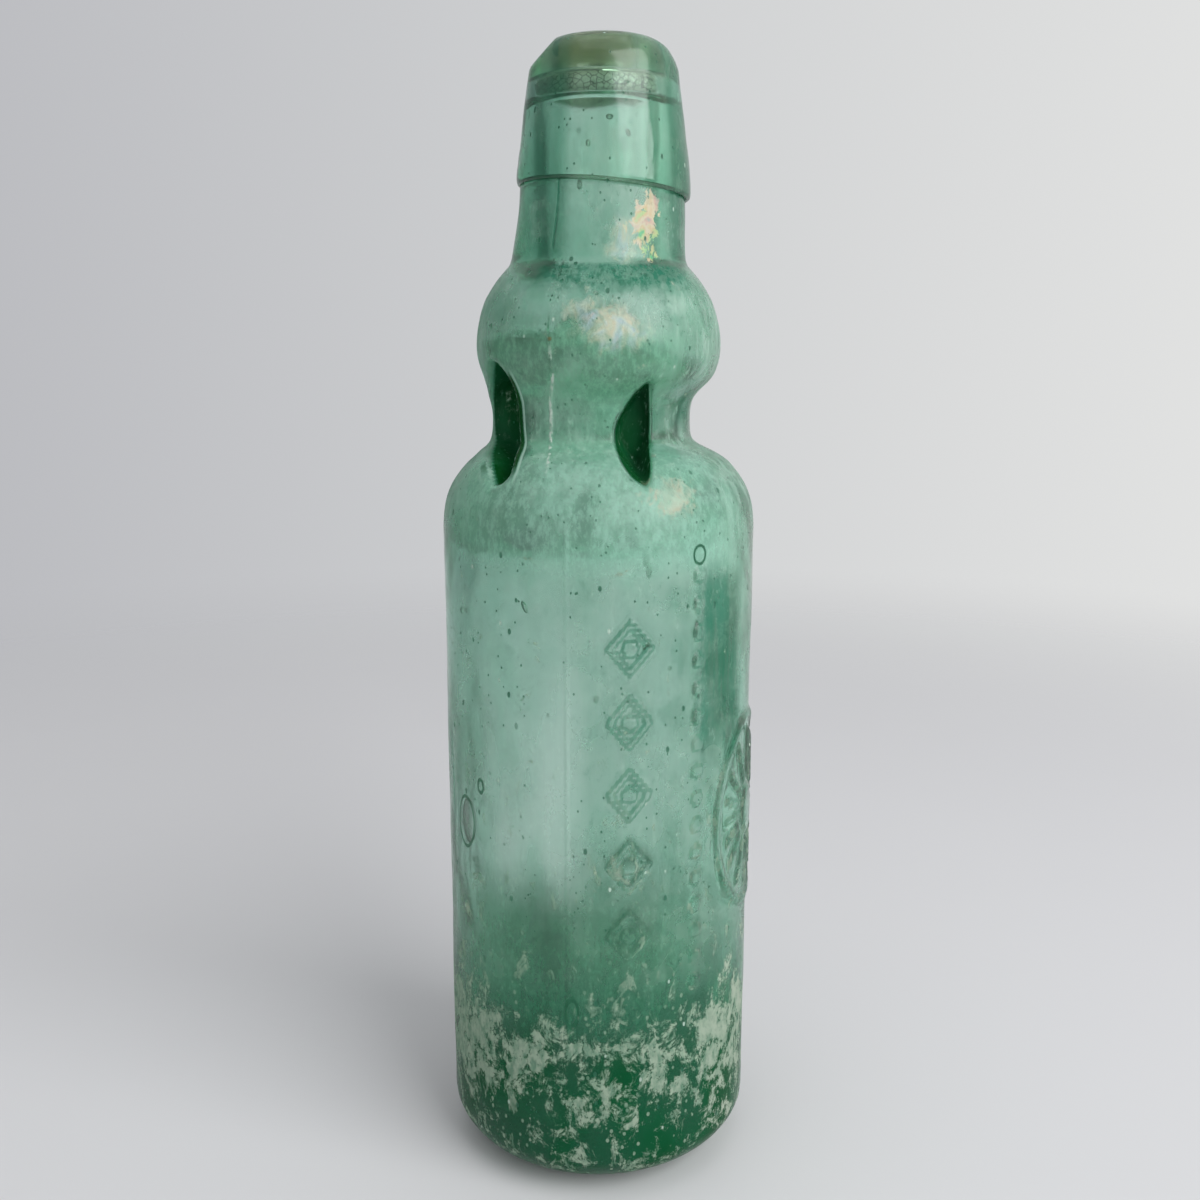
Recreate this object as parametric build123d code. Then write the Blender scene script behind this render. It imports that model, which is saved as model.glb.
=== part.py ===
from build123d import *
import math
import os

# A marble stopper bottle. It stands on Z = 0 with its axis on Z. The front panel faces -Y and
# the mould seams face +X and -X. Lengths are in millimetres and angles in degrees.

# Base and body
body_radius = 31.5
body_height = 133.0
body_wall = 5.2
heel_reach = 16.0
heel_rise = 11.0
inner_heel_radius = 8.0
push_up_radius = 11.0
push_up_height = 4.0
base_thickness = 7.0

# Shoulder, from the top of the straight wall to the waist
shoulder_rise = 15.5
shoulder_top_radius = 18.0
shoulder_wall = 4.5

# Waist, a post with a pair of dents on each side of the rib at either seam. A dent runs in at an
# angle to the seams. It is flat on its far side and bowed on its near side, beside the rib. The
# back pair stands a little higher and is a little longer.
waist_rise = 2.7
waist_radius = 20.0
waist_set_back = 1.6
throat_radius = 14.0
dent_angle = 18.0
dent_floor_distance = 12.3
dent_floor_near = 4.0
dent_floor_far = 9.7
dent_floor_half_height = 8.4
dent_mouth_distance = 30.0
dent_mouth_near = 0.6
dent_mouth_far = 10.2
dent_mouth_half_height = 10.6
dent_corner_radius = 1.5
dent_floor_round = 0.8
dent_floor_wall = 5.3
dent_side_wall = 6.4
dent_end_wall = 3.2
back_dent_lift = 1.0
back_dent_stretch = 1.3
rib_round = 3.5

# Marble chamber, widest at its middle
chamber_lift = 16.1
chamber_radius = 24.2
chamber_upper_rise = 22.0
chamber_lower_drop = 17.3
chamber_wall = 5.0

# Neck
neck_length = 31.7
neck_base_radius = 18.3
neck_top_radius = 15.9

# Marble and its way up the neck
marble_radius = 9.0
marble_play = 0.9
rest_clearance = 0.2
seal_clearance = 0.2
rest_search_step = 0.001

# Seal
ring_section_radius = 2.35
ring_inner_radius = 7.2
groove_radius = 11.9

# Applied lip, measured from the top of the neck
skirt_depth = 2.3
skirt_radius = 16.9
skirt_round = 1.1
groove_lift = 13.4
lip_wall_height = 18.0
lip_wall_radius = 14.5
lip_height = 25.2
rim_radius = 8.8
mouth_radius = 7.0
mouth_round = 0.7

# Raised relief on the body, the same on both sides of the front panel. A column's gap is what it
# leaves free under the top of the straight wall.
relief_height = 0.6
medallion_height = 75.0
medallion_half_width = 15.0
medallion_half_height = 20.5
medallion_band = 1.5
medallion_boss_half_width = 3.4
medallion_boss_half_height = 4.6
ray_count = 16
ray_gap = 2.0
ray_width = 1.3
wide_column_angle = 62.5
wide_column_bottom = 36.0
wide_column_gap = 13.0
lozenge_half_width = 4.6
lozenge_half_height = 5.4
lozenge_line = 1.2
lozenge_bead_radius = 1.5
lozenge_pitch = 14.0
narrow_column_angle = 36.5
narrow_column_bottom = 42.0
narrow_column_gap = 5.0
bead_radius = 1.4
bead_pitch = 5.4

# How far a cut or a fused shape runs past the face that it has to cross
overrun = 2.0

# Heights that follow from the sizes above
waist_height = body_height + shoulder_rise + waist_rise
chamber_height = waist_height + chamber_lift
neck_top = chamber_height + neck_length
lip_top = neck_top + lip_height
groove_bottom = neck_top + groove_lift
ring_height = groove_bottom + ring_section_radius
groove_top = ring_height + ring_section_radius
bore_radius = marble_radius + marble_play


def turned(outline):
    """The solid that an outline of radius and height makes when it is turned about the axis."""
    return revolve(Plane.XZ * make_face(outline), Axis.Z)


def upright(radius, bottom, top, y=0):
    """A cylinder on the axis, or set back from it by y, between two heights."""
    return Pos(0, y, bottom) * Cylinder(radius, top - bottom, align=(Align.CENTER, Align.CENTER, Align.MIN))


def egg(radius, rise, drop):
    """Two half ellipsoids of one radius about the middle of the chamber."""
    upper = EllipticalCenterArc((0, chamber_height), radius, rise, start_angle=0, arc_size=90)
    lower = EllipticalCenterArc((0, chamber_height), radius, drop, start_angle=270, arc_size=90)
    axis_line = Line((0, chamber_height + rise), (0, chamber_height - drop))
    return turned([lower, upper, axis_line])


def bow(near, far, half_height):
    """A straight far side and an arc that swings out to the near side, with rounded corners."""
    outline = make_face([
        ThreePointArc((far, -half_height), (near, 0), (far, half_height)),
        Line((far, half_height), (far, -half_height)),
    ])
    return fillet(outline.vertices(), dent_corner_radius)


def dents(floor_wall=0, side_wall=0, end_wall=0):
    """The four dents as solids, or the swellings that they make inside, a wall further out."""
    solids = []
    for back, lift, stretch in ((False, 0, 0), (True, back_dent_lift, back_dent_stretch)):
        height = waist_height + lift
        end = end_wall + stretch
        floor = bow(dent_floor_near - side_wall, dent_floor_far + side_wall, dent_floor_half_height + end)
        mouth = bow(dent_mouth_near - side_wall, dent_mouth_far + side_wall, dent_mouth_half_height + end)
        outlines = [
            Plane((distance - floor_wall, 0, height), x_dir=(0, 1, 0), z_dir=(1, 0, 0)) * outline
            for distance, outline in ((dent_floor_distance, floor), (dent_mouth_distance, mouth))
        ]
        dent = loft(outlines, ruled=True)
        dent = fillet(dent.faces().sort_by(Axis.X)[0].edges(), dent_floor_round)
        dent = Rot(0, 0, dent_angle) * dent
        if not back:
            dent = mirror(dent, Plane.XZ)
        solids += [dent, mirror(dent, Plane.YZ)]
    return solids


def body_outside():
    """The base, straight wall and shoulder."""
    crown_radius = (push_up_radius**2 + push_up_height**2) / (2 * push_up_height)
    foot_radius = body_radius - heel_reach
    shoulder_reach = body_radius - shoulder_top_radius
    shoulder_top = body_height + shoulder_rise
    push_up = RadiusArc((0, push_up_height), (push_up_radius, 0), crown_radius)
    foot = Line((push_up_radius, 0), (foot_radius, 0))
    heel = EllipticalCenterArc(
        (foot_radius, heel_rise), heel_reach, heel_rise, start_angle=270, arc_size=90
    )
    wall = Line((body_radius, heel_rise), (body_radius, body_height))
    shoulder = EllipticalCenterArc(
        (shoulder_top_radius, body_height), shoulder_reach, shoulder_rise, start_angle=0, arc_size=90
    )
    top = Line((shoulder_top_radius, shoulder_top), (0, shoulder_top))
    axis_line = Line((0, shoulder_top), (0, push_up_height))
    return turned([push_up, foot, heel, wall, shoulder, top, axis_line])


def neck_outside():
    """The cone of the neck, from inside the chamber to where the lip sits."""
    foot = (0, chamber_height)
    outline = Polyline(
        foot, (neck_base_radius, chamber_height), (neck_top_radius, neck_top), (0, neck_top), close=True
    )
    return turned(outline)


def body_inside():
    """The hollow of the body and shoulder, up to the throat."""
    floor = push_up_height + base_thickness
    inner_radius = body_radius - body_wall
    corner = inner_radius - inner_heel_radius
    hollow_rise = shoulder_rise - shoulder_wall
    hollow_top = body_height + hollow_rise
    bottom = Line((0, floor), (corner, floor))
    heel = CenterArc((corner, floor + inner_heel_radius), inner_heel_radius, 270, 90)
    wall = Line((inner_radius, floor + inner_heel_radius), (inner_radius, body_height))
    shoulder = EllipticalCenterArc(
        (throat_radius, body_height), inner_radius - throat_radius, hollow_rise, start_angle=0, arc_size=90
    )
    top = Line((throat_radius, hollow_top), (0, hollow_top))
    axis_line = Line((0, hollow_top), (0, floor))
    return turned([bottom, heel, wall, shoulder, top, axis_line])


def raised(outlines, angle, height):
    """Flat outlines laid on the body at an angle from the front and a height, and raised from it."""
    reach = body_radius + overrun
    panel = Plane((0, -reach, height), x_dir=(1, 0, 0), z_dir=(0, 1, 0))
    skin = upright(body_radius + relief_height, 0, body_height)
    skin -= upright(body_radius - relief_height, 0, body_height)
    blocks = [extrude(panel * outline, reach) for outline in outlines]
    return [Rot(0, 0, angle) * (block & skin) for block in blocks]


def medallion():
    """A plain oval band with rays round a small boss."""
    oval = Ellipse(medallion_half_width, medallion_half_height)
    inside = Ellipse(medallion_half_width - medallion_band, medallion_half_height - medallion_band)
    boss = Ellipse(medallion_boss_half_width, medallion_boss_half_height)
    ray_field = Ellipse(
        medallion_half_width - medallion_band - ray_gap, medallion_half_height - medallion_band - ray_gap
    )
    ray_core = Ellipse(medallion_boss_half_width + ray_gap, medallion_boss_half_height + ray_gap)
    bar = Pos(medallion_half_height / 2, 0) * Rectangle(medallion_half_height, ray_width)
    rays = [Rot(0, 0, 360 / ray_count * number) * bar for number in range(ray_count)]
    rays = [(ray & ray_field) - ray_core for ray in rays]
    return [oval - inside, boss] + rays


def heights(bottom, top, pitch):
    """Evenly spaced heights, a pitch apart, centred between a bottom and a top."""
    count = int((top - bottom) // pitch)
    first = (bottom + top - (count - 1) * pitch) / 2
    return [first + number * pitch for number in range(count)]


def lozenge():
    """An open lozenge with a bead in its middle."""
    outer = Polyline((lozenge_half_width, 0), (0, lozenge_half_height), (-lozenge_half_width, 0),
                     (0, -lozenge_half_height), close=True)
    face = make_face(outer)
    return [face - offset(face, -lozenge_line), Circle(lozenge_bead_radius)]


def relief():
    """The medallion on the front, and a wide and a narrow column on each side of it."""
    shapes = raised(medallion(), 0, medallion_height)
    for side in (-1, 1):
        for height in heights(wide_column_bottom, body_height - wide_column_gap, lozenge_pitch):
            shapes += raised(lozenge(), side * wide_column_angle, height)
        for height in heights(narrow_column_bottom, body_height - narrow_column_gap, bead_pitch):
            shapes += raised([Circle(bead_radius)], side * narrow_column_angle, height)
    return shapes


def bottle_body():
    """The blown glass: outside less inside, with the four dents through both."""
    outside = body_outside() + upright(waist_radius, body_height, chamber_height, waist_set_back)
    outside += egg(chamber_radius, chamber_upper_rise, chamber_lower_drop)
    lowest = body_height + rib_round
    highest = chamber_height - rib_round
    outside = fillet(outside.edges().filter_by_position(Axis.Z, lowest, highest), rib_round)
    outside += neck_outside()
    outside -= dents()
    outside += relief()
    inside = body_inside() + upright(throat_radius, body_height, chamber_height)
    inside += egg(
        chamber_radius - chamber_wall, chamber_upper_rise - chamber_wall, chamber_lower_drop - chamber_wall
    )
    inside += upright(bore_radius, chamber_height, neck_top + overrun)
    inside -= dents(dent_floor_wall, dent_side_wall, dent_end_wall)
    return outside - inside


def applied_lip():
    """The tooled finish, which laps over the neck with its skirt and holds the groove."""
    skirt_bottom = neck_top - skirt_depth
    wall_top = neck_top + lip_wall_height
    skirt_corner = skirt_radius - skirt_round
    underside = Line((0, skirt_bottom), (skirt_corner, skirt_bottom))
    corner = CenterArc((skirt_corner, skirt_bottom + skirt_round), skirt_round, 270, 90)
    wall = Line((skirt_radius, skirt_bottom + skirt_round), (lip_wall_radius, wall_top))
    dome_reach = lip_wall_radius - rim_radius
    dome_rise = lip_height - lip_wall_height
    dome = EllipticalCenterArc((rim_radius, wall_top), dome_reach, dome_rise, start_angle=0, arc_size=90)
    rim = Line((rim_radius, lip_top), (0, lip_top))
    axis_line = Line((0, lip_top), (0, skirt_bottom))
    lip = turned([underside, corner, wall, dome, rim, axis_line])
    lip -= upright(mouth_radius, skirt_bottom, lip_top + overrun)
    mouth_edge = lip.edges().filter_by(GeomType.CIRCLE).group_by(Axis.Z)[-1].sort_by(SortBy.RADIUS)[0]
    lip = fillet(mouth_edge, mouth_round)
    lip -= upright(bore_radius, skirt_bottom - overrun, groove_bottom)
    lip -= upright(groove_radius, groove_bottom, groove_top)
    lip -= neck_outside()
    return lip


def rubber_ring():
    """The seal: it fills the groove and stands into the bore with a round inner side."""
    centre_radius = ring_inner_radius + ring_section_radius
    back = groove_radius - centre_radius
    section = Pos(centre_radius, ring_height) * Circle(ring_section_radius)
    section += Pos(centre_radius + back / 2, ring_height) * Rectangle(back, 2 * ring_section_radius)
    return revolve(Plane.XZ * section, Axis.Z)


def rest_height(body):
    """The height at which the ball, as it sinks, first comes within its clearance of the glass."""
    low, high = waist_height, chamber_height + marble_radius
    while high - low > rest_search_step:
        middle = (low + high) / 2
        room = body.distance_to(Vertex(0, 0, middle))
        if room < marble_radius + rest_clearance:
            low = middle
        else:
            high = middle
    return high


def sealed_height():
    """The height of the marble's centre when it closes against the ring."""
    centre_radius = ring_inner_radius + ring_section_radius
    reach = marble_radius + ring_section_radius
    return ring_height - math.sqrt(reach**2 - centre_radius**2) - seal_clearance


os.makedirs("parts", exist_ok=True)
body = bottle_body()
marble_rest = rest_height(body)
nodes = {
    "bottle_body": body,
    "applied_lip": applied_lip(),
    "rubber_ring": rubber_ring(),
    "marble": Pos(0, 0, marble_rest) * Sphere(marble_radius),
}
for name, shape in nodes.items():
    export_step(shape, f"parts/{name}.step")
print(f"The marble rests at {marble_rest:.3f} and travels {sealed_height() - marble_rest:.3f}.")
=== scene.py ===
"""Dresses the marble stopper bottle: the blown body, the applied lip, the rubber ring and the marble.

Shapes are worked out in millimetres and go into their meshes in metres. The bottle stands on Z = 0 with
its axis on Z, the front panel faces -Y and the mould seams face +X and -X.
"""
import logging
import math
import random
from collections.abc import Callable
from dataclasses import dataclass, field
from enum import Enum

import bmesh
import bpy
import numpy as np
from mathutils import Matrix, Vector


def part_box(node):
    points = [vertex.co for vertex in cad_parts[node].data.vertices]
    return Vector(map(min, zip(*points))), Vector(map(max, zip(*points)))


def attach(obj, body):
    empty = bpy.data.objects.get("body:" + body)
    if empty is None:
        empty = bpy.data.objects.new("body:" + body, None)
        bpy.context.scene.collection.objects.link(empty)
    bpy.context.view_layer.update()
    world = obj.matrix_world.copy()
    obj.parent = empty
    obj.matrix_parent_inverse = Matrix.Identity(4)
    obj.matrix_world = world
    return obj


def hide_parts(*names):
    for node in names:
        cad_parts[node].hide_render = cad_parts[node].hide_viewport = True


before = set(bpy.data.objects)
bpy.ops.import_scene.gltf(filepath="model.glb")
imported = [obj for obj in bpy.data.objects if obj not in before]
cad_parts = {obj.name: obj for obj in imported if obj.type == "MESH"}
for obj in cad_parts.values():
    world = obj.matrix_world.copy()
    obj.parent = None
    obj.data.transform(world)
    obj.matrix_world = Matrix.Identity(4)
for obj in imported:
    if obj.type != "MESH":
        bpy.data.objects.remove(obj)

LOG = logging.getLogger("bottle")
MM = 0.001
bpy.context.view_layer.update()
Triple = tuple[float, float, float]
Colour = Triple
# The level direction in which the neck and the lip lean a little, of length 1.
LEAN_X, LEAN_Y = 0.292, -0.956
# How far on either side of a dent's edge the body's mesh carries the distance to it, in millimetres.
RIM_REACH = 4.0


class Side(Enum):
    """The front and back pair of dents, by the sign of their Y."""

    FRONT = -1
    BACK = 1


# Numbers over a surface


def smooth_least(first: np.ndarray, second: np.ndarray, blend: float) -> np.ndarray:
    """The lesser of two fields, rounded over a blend distance.

    Args:
        first: One field.
        second: The other field.
        blend: The difference at which the rounding ends.

    Returns:
        The rounded least field.
    """
    share = np.clip(0.5 + 0.5 * (second - first) / blend, 0, 1)
    return second * (1 - share) + first * share - blend * share * (1 - share)


def smooth_most(first: np.ndarray, second: np.ndarray, blend: float) -> np.ndarray:
    """The greater of two fields, rounded over a blend distance."""
    return -smooth_least(-first, -second, blend)


def ease(values: np.ndarray, low: float, high: float) -> np.ndarray:
    """A smooth rise from 0 at low to 1 at high; low may be the greater."""
    share = np.clip((values - low) / (high - low), 0, 1)
    return share * share * (3 - 2 * share)


def waves(points: np.ndarray, size: float, seed: int, count: int = 14) -> np.ndarray:
    """A gentle random field, made of plane waves.

    Args:
        points: Places in millimetres, three to a point.
        size: The length of a middling wave in millimetres.
        seed: Fixes the waves.
        count: How many waves are added.

    Returns:
        A field of about -1 to 1, one value to a point.
    """
    draw = random.Random(seed)
    total = np.zeros(points.shape[:-1])
    for _ in range(count):
        way = np.array([draw.gauss(0, 1) for _ in range(3)])
        way *= 2 * math.pi / (size * draw.uniform(0.7, 1.6) * np.linalg.norm(way))
        total += np.sin(points @ way + draw.uniform(0, 2 * math.pi))
    return total / math.sqrt(count)


def turned(line: np.ndarray,
           angles: np.ndarray) -> tuple[np.ndarray, np.ndarray, np.ndarray, np.ndarray]:
    """An outline turned round the axis.

    Args:
        line: Radius and height, row by row.
        angles: The columns' angles.

    Returns:
        Radius, height and angle by row and column, and the points that they make.
    """
    radius = np.repeat(line[:, :1], len(angles), axis=1)
    z = np.repeat(line[:, 1:], len(angles), axis=1)
    turn = np.repeat(angles[None, :], len(line), axis=0)
    return radius, z, turn, np.stack([radius * np.cos(turn), radius * np.sin(turn), z], axis=-1)


def soften(outline: list[tuple[float, float]], reach: float, step: float = 0.1) -> np.ndarray:
    """An outline of straight runs with its corners rounded.

    Args:
        outline: Corners as radius and height.
        reach: How far along the outline a corner is spread.
        step: The spacing of the points that come back.

    Returns:
        Close points along the rounded outline.
    """
    corners = np.array(outline, dtype=float)
    run = np.concatenate([[0], np.cumsum(np.linalg.norm(np.diff(corners, axis=0), axis=1))])
    places = np.linspace(0, run[-1], int(run[-1] / step) + 1)
    line = np.stack([np.interp(places, run, corners[:, axis]) for axis in (0, 1)], axis=1)
    width = max(1, int(reach / step / 2))
    kernel = np.ones(2 * width + 1) / (2 * width + 1)
    for _ in range(2):
        before = 2 * line[0] - line[width:0:-1]
        after = 2 * line[-1] - line[-2:-width - 2:-1]
        padded = np.concatenate([before, line, after])
        line = np.stack([np.convolve(padded[:, axis], kernel, "valid") for axis in (0, 1)], axis=1)
    return line


def pace(line: np.ndarray, stride: Callable[[float, float], float]) -> np.ndarray:
    """Picks points along a close line, a stride apart, that may change with height.

    Args:
        line: Close points as radius and height.
        stride: A function of radius and height that gives the spacing.

    Returns:
        The picked points, with both ends kept.
    """
    run = np.concatenate([[0], np.cumsum(np.linalg.norm(np.diff(line, axis=0), axis=1))])
    place, places = 0.0, [0.0]
    while place < run[-1]:
        radius, height = (np.interp(place, run, line[:, axis]) for axis in (0, 1))
        place += stride(radius, height)
        places.append(min(place, run[-1]))
    if run[-1] - places[-2] < 0.4 * stride(*line[-1]):
        places.pop(-2)
    return np.stack([np.interp(places, run, line[:, axis]) for axis in (0, 1)], axis=1)


def spread(stretches: list[Triple], rest: float, count: int) -> np.ndarray:
    """Angles round the axis, closer together where there is detail.

    Args:
        stretches: From angle, to angle and spacing, in degrees.
        rest: The spacing everywhere else.
        count: How many angles are wanted.

    Returns:
        The angles in radians, rising, one turn in all.
    """
    angles = np.arange(0, 360, 0.05)
    tightness = np.full(len(angles), 1 / rest)
    for low, high, spacing in stretches:
        inside = (angles - low) % 360 < (high - low) % 360
        tightness[inside] = np.maximum(tightness[inside], 1 / spacing)
    share = np.concatenate([[0], np.cumsum(tightness)])
    picked = np.interp(np.arange(count) / count * share[-1], share, np.append(angles, 360.0))
    return np.radians(picked)


@dataclass
class Skin:
    """Rings of points about the axis that close into one watertight skin."""

    points: np.ndarray
    coarse: np.ndarray
    loop: bool = False
    fields: dict[str, np.ndarray] = field(default_factory=dict)

    def faces(self) -> tuple[np.ndarray, list[list[int]]]:
        """The kept vertices and the faces between the rings.

        Returns:
            A mask of rows and columns, and the faces as lists of vertex numbers.
        """
        rows, columns = self.points.shape[:2]
        kept = np.ones((rows, columns), dtype=bool)
        kept[self.coarse, 1::2] = False
        poles = [] if self.loop else [0, rows - 1]
        for pole in poles:
            kept[pole, 1:] = False
        number = np.full((rows, columns), -1)
        number[kept] = np.arange(kept.sum())
        for pole in poles:
            number[pole, :] = number[pole, 0]
        found: list[list[int]] = []
        for row in range(rows if self.loop else rows - 1):
            near, far = number[row], number[(row + 1) % rows]
            near_coarse, far_coarse = bool(self.coarse[row]), bool(self.coarse[(row + 1) % rows])
            found += self.band(near, far, near_coarse, far_coarse, row in poles, (row + 1) in poles)
        return kept, found

    @staticmethod
    def band(near: np.ndarray, far: np.ndarray, near_coarse: bool, far_coarse: bool,
             from_pole: bool, to_pole: bool) -> list[list[int]]:
        """The faces between two neighbouring rings.

        Args:
            near: Vertex numbers of the first ring.
            far: Vertex numbers of the second ring.
            near_coarse: Whether the first ring keeps every second column.
            far_coarse: Whether the second ring keeps every second column.
            from_pole: Whether the first ring is one point.
            to_pole: Whether the second ring is one point.

        Returns:
            The faces as lists of vertex numbers.
        """
        if from_pole or to_pole:
            step = 2 if (far_coarse if from_pole else near_coarse) else 1
            a, b = np.arange(0, len(near), step), (np.arange(0, len(near), step) + step) % len(near)
            if from_pole:
                return np.stack([near[a], far[b], far[a]], axis=1).tolist()
            return np.stack([near[a], near[b], far[a]], axis=1).tolist()
        if near_coarse == far_coarse:
            step = 2 if near_coarse else 1
            a, b = np.arange(0, len(near), step), (np.arange(0, len(near), step) + step) % len(near)
            return np.stack([near[a], near[b], far[b], far[a]], axis=1).tolist()
        a = np.arange(0, len(near), 2)
        m, b = a + 1, (a + 2) % len(near)
        if far_coarse:
            parts = [(near[a], near[m], far[a]), (near[m], far[b], far[a]), (near[m], near[b], far[b])]
        else:
            parts = [(near[a], far[m], far[a]), (near[a], near[b], far[m]), (near[b], far[b], far[m])]
        return [face for part in parts for face in np.stack(part, axis=1).tolist()]

    def mesh(self, name: str, extras: list["Bubble"] = ()) -> bpy.types.Mesh:
        """Makes the mesh in metres, with its fields as attributes.

        Args:
            name: The mesh's name.
            extras: Bubbles that are closed into the same mesh.

        Returns:
            The smooth-shaded mesh.
        """
        kept, found = self.faces()
        places = self.points[kept]
        values = {key: grid[kept] for key, grid in self.fields.items()}
        for bubble in extras:
            more, more_faces = bubble.shell()
            found += (np.array(more_faces) + len(places)).tolist()
            places = np.concatenate([places, more])
            values = {key: np.concatenate([old, np.zeros(len(more))]) for key, old in values.items()}
        made = bpy.data.meshes.new(name)
        made.from_pydata((places * MM).tolist(), [], found)
        for key, numbers in values.items():
            made.attributes.new(key, "FLOAT", "POINT").data.foreach_set("value", numbers.astype(np.float32))
        made.polygons.foreach_set("use_smooth", np.ones(len(made.polygons), dtype=bool))
        made.validate()
        return made


@dataclass
class Bubble:
    """An air bubble in the wall: an egg-shaped hollow whose faces look into it."""

    angle: float
    height: float
    radius: float
    depth: float
    width: float
    length: float
    lean: float = 0.0

    def shell(self, around: int = 20, along: int = 12) -> tuple[np.ndarray, list[list[int]]]:
        """Points and triangles of the hollow.

        Args:
            around: Points round its long axis.
            along: Rings from end to end.

        Returns:
            The points in millimetres, and faces that look inwards.
        """
        points = [(0.0, 0.0, -1.0)]
        for ring in range(1, along):
            out, up = math.sin(math.pi * ring / along), -math.cos(math.pi * ring / along)
            for step in range(around):
                turn = 2 * math.pi * step / around
                points.append((out * math.cos(turn), out * math.sin(turn), up))
        points.append((0.0, 0.0, 1.0))
        local = np.array(points) * (self.depth, self.width, self.length)
        lean, turn = math.radians(self.lean), math.radians(self.angle)
        across = local[:, 1] * math.cos(lean) - local[:, 2] * math.sin(lean)
        upward = local[:, 1] * math.sin(lean) + local[:, 2] * math.cos(lean)
        outward = self.radius + local[:, 0]
        x = outward * math.cos(turn) - across * math.sin(turn)
        y = outward * math.sin(turn) + across * math.cos(turn)
        placed = np.stack([x, y, self.height + upward], axis=1)
        last = len(points) - 1
        found = []
        for step in range(around):
            after = (step + 1) % around
            found.append([0, 1 + step, 1 + after])
            found.append([last, last - around + after, last - around + step])
            for ring in range(along - 2):
                low, high = 1 + ring * around, 1 + (ring + 1) * around
                found.append([low + step, high + step, high + after])
                found.append([low + step, high + after, low + after])
        return placed, found


def as_piece(name: str, mesh: bpy.types.Mesh) -> bpy.types.Object:
    """Puts a mesh in the scene as an object at the origin."""
    piece = bpy.data.objects.new(name, mesh)
    bpy.context.scene.collection.objects.link(piece)
    return piece


def settle(piece: bpy.types.Object) -> bpy.types.Object:
    """Turns an object with live modifiers into a plain mesh of the same name.

    Args:
        piece: The object, whose modifiers are worked out and removed.

    Returns:
        The same object.
    """
    bpy.context.view_layer.update()
    evaluated = piece.evaluated_get(bpy.context.evaluated_depsgraph_get())
    mesh = bpy.data.meshes.new_from_object(evaluated)
    piece.modifiers.clear()
    old = piece.data
    piece.data = mesh
    bpy.data.meshes.remove(old)
    mesh.name = piece.name
    return piece


# Nodes


class Value:
    """A number in a node tree, on which Python arithmetic adds Math nodes."""

    def __init__(self, bench: "Bench", socket: bpy.types.NodeSocket) -> None:
        """Wraps an output socket."""
        self.bench = bench
        self.socket = socket

    def math(self, operation: str, *others: object) -> "Value":
        """Adds a Math node of this value and others."""
        return self.bench.math(operation, self, *others)

    def __add__(self, other: object) -> "Value":
        """This plus other."""
        return self.bench.math("ADD", self, other)

    __radd__ = __add__

    def __sub__(self, other: object) -> "Value":
        """This less other."""
        return self.bench.math("SUBTRACT", self, other)

    def __rsub__(self, other: object) -> "Value":
        """Other less this."""
        return self.bench.math("SUBTRACT", other, self)

    def __mul__(self, other: object) -> "Value":
        """This times other."""
        return self.bench.math("MULTIPLY", self, other)

    __rmul__ = __mul__

    def __truediv__(self, other: object) -> "Value":
        """This over other."""
        return self.bench.math("DIVIDE", self, other)

    def __pow__(self, other: object) -> "Value":
        """This to the power of other."""
        return self.bench.math("POWER", self, other)


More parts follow.
